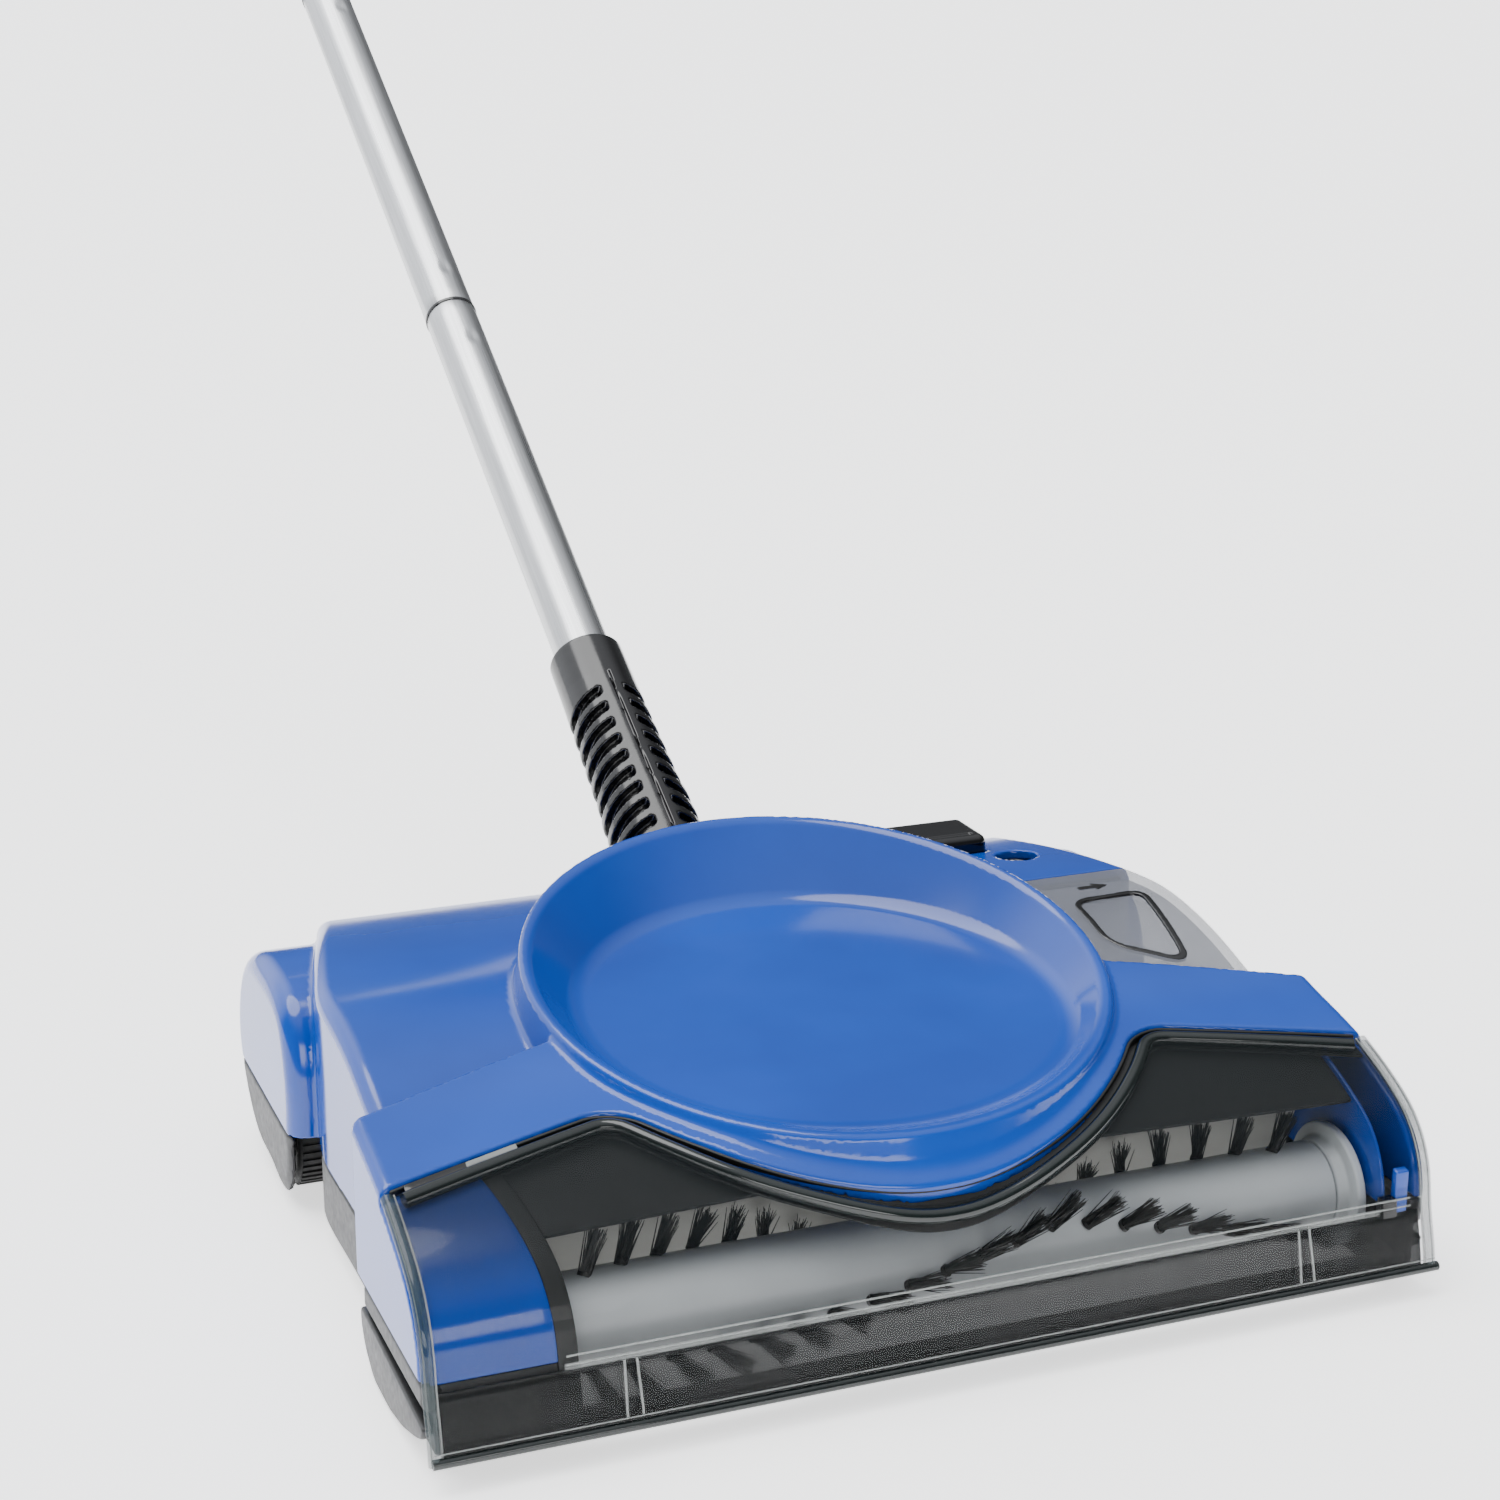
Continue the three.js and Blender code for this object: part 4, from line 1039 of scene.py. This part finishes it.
def makeArrow():
    # a raised arrow that shows which way the cup slides out
    shape = [(0, -1), (6, -1), (6, -3), (11, 0), (6, 3), (6, 1), (0, 1)]
    points = [(118 + x, 160 + y, barrelTop(160.0 + y)[0] + lift) for lift in (-0.4, 0.35) for x, y in shape]
    count = len(shape)
    faces = [range(count - 1, -1, -1), range(count, 2 * count)]
    faces += [(i, (i + 1) % count, count + (i + 1) % count, count + i) for i in range(count)]
    return meshPiece("cup_arrow", points, faces, headPlace, blackAbs, 0.15)


settle(makeArrow(), "dust_cup", "black_plastic")
print("dust cup made")

# foot pedal, with a shallow hollow for the toe's edge and soft corners
pedalShape = {"edge": 3.2}


def pedalField(x, y, z):
    body = boxBody(x, y, z, pedalLow, pedalHigh, pedalShape["edge"])
    groove = np.hypot((y - pedalLow[1] - 4.2), z - pedalHigh[2] - 0.4) - 1.2
    return roundMax(body, -np.maximum(groove, np.abs(x - (pedalLow[0] + pedalHigh[0]) / 2) - 18), 0.3)


pedal = fieldPiece("pedal", pedalField, pedalLow, pedalHigh, 1.0, headPlace, blackAbs, 0.6)
settle(pedal, "pedal", "black_plastic", "power_pedal")

jackShape = {"ring": 7.2, "mouth": 4.4, "bore": 3.2, "pin": 0.9}


def makeJack():
    place = headPlace @ Matrix.Translation((jackX, jackY, 0))
    top, bottom = jackBox[1].z * 1000, jackBox[0].z * 1000
    ring, mouth, bore = jackShape["ring"], jackShape["mouth"], jackShape["bore"]
    profile = [(0, bottom), (ring, bottom), (ring, top), (mouth + 0.6, top), (mouth, top - 1.4),
               (bore, top - 1.8),
               (bore, bottom + 3), (0, bottom + 3)]
    settle(turned("charge_socket", profile, place, blackAbs, 48, 0.5), "head", "black_plastic", "charge_jack")
    pin = [(0, bottom + 2.5), (jackShape["pin"], bottom + 2.5), (jackShape["pin"], top - 4), (0, top - 3.4)]
    settle(turned("charge_socket_pin", pin, place, brightSteel, 20, 0.3), "head", "steel")


makeJack()

# ribbed rubber-like sleeve at the foot of the handle, in the handle's own frame; its front is local -Y
sleeve = {"low": 24, "high": 138.4, "base": 17.7, "top": 14.7, "pitch": 8.6, "ribs": 10, "first": 30,
          "gap": 4.8,
          "deep": 3.2, "spine": 4.4, "collar": 118, "step": 62}


def sleeveField(x, y, z):
    radius = np.hypot(x, y)
    taper = np.interp(z, (sleeve["low"], sleeve["collar"], sleeve["high"]),
                      (sleeve["base"], sleeve["top"] + 0.3, sleeve["top"]))
    taper = taper + 0.5 * (z < sleeve["step"]) - 0.25
    middle, half = (sleeve["low"] + sleeve["high"]) / 2, (sleeve["high"] - sleeve["low"]) / 2
    body = roundMax(radius - taper, np.abs(z - middle) - half, 1.2)
    slant = z + 0.22 * np.abs(x) - 0.18 * np.maximum(-y, 0)
    last = sleeve["first"] + (sleeve["ribs"] - 1) * sleeve["pitch"]
    row = np.clip(np.round((slant - sleeve["first"]) / sleeve["pitch"]), 0, sleeve["ribs"] - 1)
    between = np.abs(slant - sleeve["first"] - row * sleeve["pitch"]) - sleeve["gap"] / 2
    groove = roundMax(between, taper - sleeve["deep"] - radius, 0.7)
    groove = roundMax(groove, sleeve["spine"] - np.abs(x), 1.6)
    body = roundMax(body, -np.maximum(groove, z - last - sleeve["pitch"]), 0.6)
    seam = np.maximum(np.abs(x - 0.6) - 0.35, taper - 0.5 - radius)
    body = roundMax(body, -np.maximum(seam, z - sleeve["collar"]), 0.2)
    bore = radius - np.where(z > 95, 11.2, 9.9)
    return roundMax(body, -bore, 0.4)


sleevePiece = fieldPiece("handle_sleeve_ribbed", sleeveField, (-18, -18, 23), (18, 18, 140), 0.9, handlePlace,
                         blackAbs, 0.7)
settle(sleevePiece, "handle", "black_plastic", "handle_sleeve")

tubeShape = {"radius": 11.0, "wall": 0.8, "start": 96.0, "section": 254.0, "marks": (22, 228), "press": 0.55}


def makeTubes():
    r, section = tubeShape["radius"], tubeShape["section"]
    for i, name in enumerate(("lower_tube", "middle_tube", "upper_tube")):
        start = tubeShape["start"] + i * section + 0.15
        end = start + section - 0.3
        stations = np.arange(start + 8, end - 7, 2.0)
        inner = r - tubeShape["wall"]
        profile = [(inner, start), (r - 0.3, start)] + [(r, start + 0.8)] + [(r, s) for s in stations]
        profile += [(r, end - 0.8), (r - 0.3, end), (inner, end)]
        marks = [start + m for m in tubeShape["marks"]]

        def dent(turn, height, marks=marks):
            press = 0
            for mark in marks:
                away = np.hypot((turn - 1.5 * math.pi - 0.15) * r / 2.6, (height - mark) / 4.0)
                press = press + tubeShape["press"] * np.clip(1.2 - away, 0, 1)
            return press
        settle(turned(name + "_drawn", profile, handlePlace, satinTube, 96, 0, dent), "handle",
               "satin_aluminium", name)
    for i in (1, 2):
        seam = tubeShape["start"] + i * section
        outer, inner = r - tubeShape["wall"] - 0.3, 8.4
        profile = [(inner, seam - 30), (outer - 0.8, seam - 30), (outer, seam - 28), (outer, seam - 0.14),
                   (r + 0.25, seam - 0.14), (r + 0.25, seam + 0.14), (outer, seam + 0.14), (outer, seam + 28),
                   (outer - 0.8, seam + 30), (inner, seam + 30)]
        settle(turned(f"tube_joiner_{i}_moulded", profile, handlePlace, blackAbs, 72, 0.05), "handle",
               "black_plastic", f"tube_joiner_{i}")
        ring = [(r + 0.3 * (j < 2), seam + 0.75 * (1 if j in (1, 2) else -1)) for j in range(4)]
        settle(turned(f"tube_seam_ring_{i}", ring, handlePlace, blackAbs, 96, 0.2), "handle", "black_plastic")


makeTubes()

# soft grip and its end cap
gripShape = {"radius": 14.2, "ribs": 9, "pitch": 13.0, "waist": 0.9}


def makeGrip():
    start = tubeShape["start"] + 3 * tubeShape["section"] - 24
    length = 217
    stations = np.linspace(2, length - 2, 110)
    swell = gripShape["radius"] + gripShape["waist"] * np.cos(stations / length * 4 * math.pi - 1.6)
    ribbed = (stations > 34) & (stations < 34 + gripShape["ribs"] * gripShape["pitch"])
    cut = 0.55 * np.clip(np.cos(2 * math.pi * (stations - 34) / gripShape["pitch"]) - 0.55, 0, 1) / 0.45
    radius = swell - np.where(ribbed, cut, 0)
    bore = tubeShape["radius"] + 0.3
    profile = [(bore, start), (12.6, start)] + [(r, start + s) for r, s in zip(radius, stations)]
    profile += [(13.2, start + length), (bore, start + length)]
    settle(turned("grip_rubber", profile, handlePlace, castRubber, 72, 0), "handle", "rubber", "grip_body")
    low = start + length + 0.3
    cap = [(0, low), (14.6, low), (14.8, low + 3), (14.0, low + 6.5), (10, low + 9), (0, low + 9)]
    settle(turned("grip_end_cap", cap, handlePlace, blackAbs, 72, 1.2), "handle", "black_plastic", "grip_cap")


makeGrip()
print("handle made")


def makeScrewTree():
    # pan-head screws with a cross recess, one at each point, heads down
    tree, given = newTree("base screws", {"Head": 0.0034, "Slot": 0.001,
                                          "Material": None})
    head = addNode(tree, "GeometryNodeMeshCylinder",
                   {"Vertices": 32, "Radius": given["Head"], "Depth": 0.0022})
    bars = []
    for size in ((0.0044, 0.0009, 0.0022), (0.0009, 0.0044, 0.0022)):
        bar = addNode(tree, "GeometryNodeMeshCube", {"Size": size})
        sunk = {"Geometry": bar.outputs[0], "Translation": (0, 0, -0.001)}
        bars.append(addNode(tree, "GeometryNodeTransform", sunk))
    cross = addNode(tree, "GeometryNodeMeshBoolean", {"Mesh 1": head.outputs[0]}, operation="DIFFERENCE")
    for bar in bars:
        tree.links.new(bar.outputs[0], cross.inputs["Mesh 2"])
    shank = addNode(tree, "GeometryNodeMeshCylinder", {"Vertices": 16, "Radius": 0.0015, "Depth": 0.006})
    low = addNode(tree, "GeometryNodeTransform", {"Geometry": shank.outputs[0], "Translation": (0, 0, 0.004)})
    whole = addNode(tree, "GeometryNodeJoinGeometry")
    tree.links.new(cross.outputs[0], whole.inputs[0])
    tree.links.new(low.outputs[0], whole.inputs[0])
    placed = addNode(tree, "GeometryNodeInstanceOnPoints",
                     {"Points": given["Geometry"], "Instance": whole.outputs[0]})
    closeTree(tree, placed.outputs[0], given["Material"])
    return tree


def makeScrews():
    boxes = [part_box(f"base_screw_{i}") for i in range(1, 5)]
    mesh = bpy.data.meshes.new("base_screws")
    mesh.from_pydata([((a.x + b.x) / 2, (a.y + b.y) / 2, a.z + 0.0013) for a, b in boxes], [], [])
    piece = grownPiece("base_screws", mesh, makeScrewTree(), {"Material": brightSteel}, 30)
    settle(piece, "head", "steel", *[f"base_screw_{i}" for i in range(1, 5)])


makeScrews()

# the pieces that stay as they came from the CAD model
kept = {charcoalAbs: ["bearing_block_left", "bearing_block_right", "handle_cradle_left",
                      "handle_cradle_right",
                      "battery_tray", "dirt_ramp"],
        blackAbs: ["brush_pulley", "motor_pulley", "power_switch", "handle_yoke"],
        brightSteel: ["brush_bush_left", "brush_bush_right", "front_axle_left", "front_axle_right",
                      "rear_axle_left",
                      "rear_axle_right", "pivot_pin", "brush_axle", "motor", "pedal_spring"],
        shrunkPvc: [f"battery_cell_{i}" for i in range(1, 7)],
        castRubber: ["drive_belt"], lacquered: ["circuit_board"]}
for material, names in kept.items():
    for name in names:
        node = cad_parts[name]
        node.data.materials.clear()
        node.data.materials.append(material)
print("inner pieces finished")

# glows: a direction, the cosines between which it fades in, and its strength
stage = {"floor": "#f6f6f6", "floorGlow": 1.3, "floorSize": 400, "world": 0.22,
         "glows": [((0, 0, 1), 0.45, 0.97, 1.2), ((-0.5, 0.8, 0.5), 0.72, 0.98, 2.2)],
         "lens": 65.6, "camera": (-0.3166, -0.6325, 0.3939), "azimuth": -21.51, "elevation": 16.1}


def makeStage():
    size = stage["floorSize"] / 2
    mesh = bpy.data.meshes.new("studio_floor")
    mesh.from_pydata([(-size, -size, 0), (size, -size, 0), (size, size, 0), (-size, size, 0)], [],
                     [(0, 1, 2, 3)])
    floor = bpy.data.objects.new("studio_floor", mesh)
    bpy.context.scene.collection.objects.link(floor)
    material, tree, bsdf, place = newMaterial("painted studio floor", Roughness=0.85)
    bsdf.inputs["Base Color"].default_value = hexColour(stage["floor"])
    bsdf.inputs["Emission Color"].default_value = hexColour("#ffffff")
    bsdf.inputs["Emission Strength"].default_value = stage["floorGlow"]
    mesh.materials.append(material)
    world = bpy.data.worlds.new("studio")
    bpy.context.scene.world = world
    world.use_nodes = True
    tree = world.node_tree
    back = tree.nodes["Background"]
    back.inputs["Color"].default_value = hexColour("#f3f6fb")
    sky = addNode(tree, "ShaderNodeTexCoord").outputs["Generated"]
    total = stage["world"]
    for aim, start, end, strength in stage["glows"]:
        facing = addNode(tree, "ShaderNodeVectorMath", {0: sky, 1: Vector(aim).normalized()},
                         operation="DOT_PRODUCT")
        glow = addNode(tree, "ShaderNodeMapRange", {"Value": facing.outputs["Value"], "From Min": start,
                                                    "From Max": end, "To Min": 0.0, "To Max": strength},
                       interpolation_type="SMOOTHSTEP")
        total = addNode(tree, "ShaderNodeMath", {0: total, 1: glow.outputs["Result"]},
                        operation="ADD").outputs[0]
    tree.links.new(total, back.inputs["Strength"])


def addLight(name, kind, place, target, power, **settings):
    data = bpy.data.lights.new(name, kind)
    data.energy = power
    for key, value in settings.items():
        setattr(data, key, value)
    lamp = bpy.data.objects.new(name, data)
    bpy.context.scene.collection.objects.link(lamp)
    lamp.location = place
    lamp.rotation_euler = (Vector(place) - Vector(target)).to_track_quat("Z", "Y").to_euler()


def makeCamera():
    data = bpy.data.cameras.new("view")
    data.lens = stage["lens"]
    camera = bpy.data.objects.new("view", data)
    bpy.context.scene.collection.objects.link(camera)
    x, y, z = stage["camera"]
    camera.location = (x, y + lipY, z)
    camera.rotation_euler = (math.radians(90 - stage["elevation"]), 0, math.radians(stage["azimuth"]))
    bpy.context.scene.camera = camera


makeCamera()
makeStage()
addLight("skySoft", "SUN", (-0.5, 0.3, 2.0), (0, 0, 0), 3.2, angle=math.radians(50))
addLight("frontFill", "AREA", (-0.25, lipY - 1.3, 0.45), (0, lipY, 0.04), 7, shape="RECTANGLE", size=1.2,
         size_y=0.35)

print("stage made")
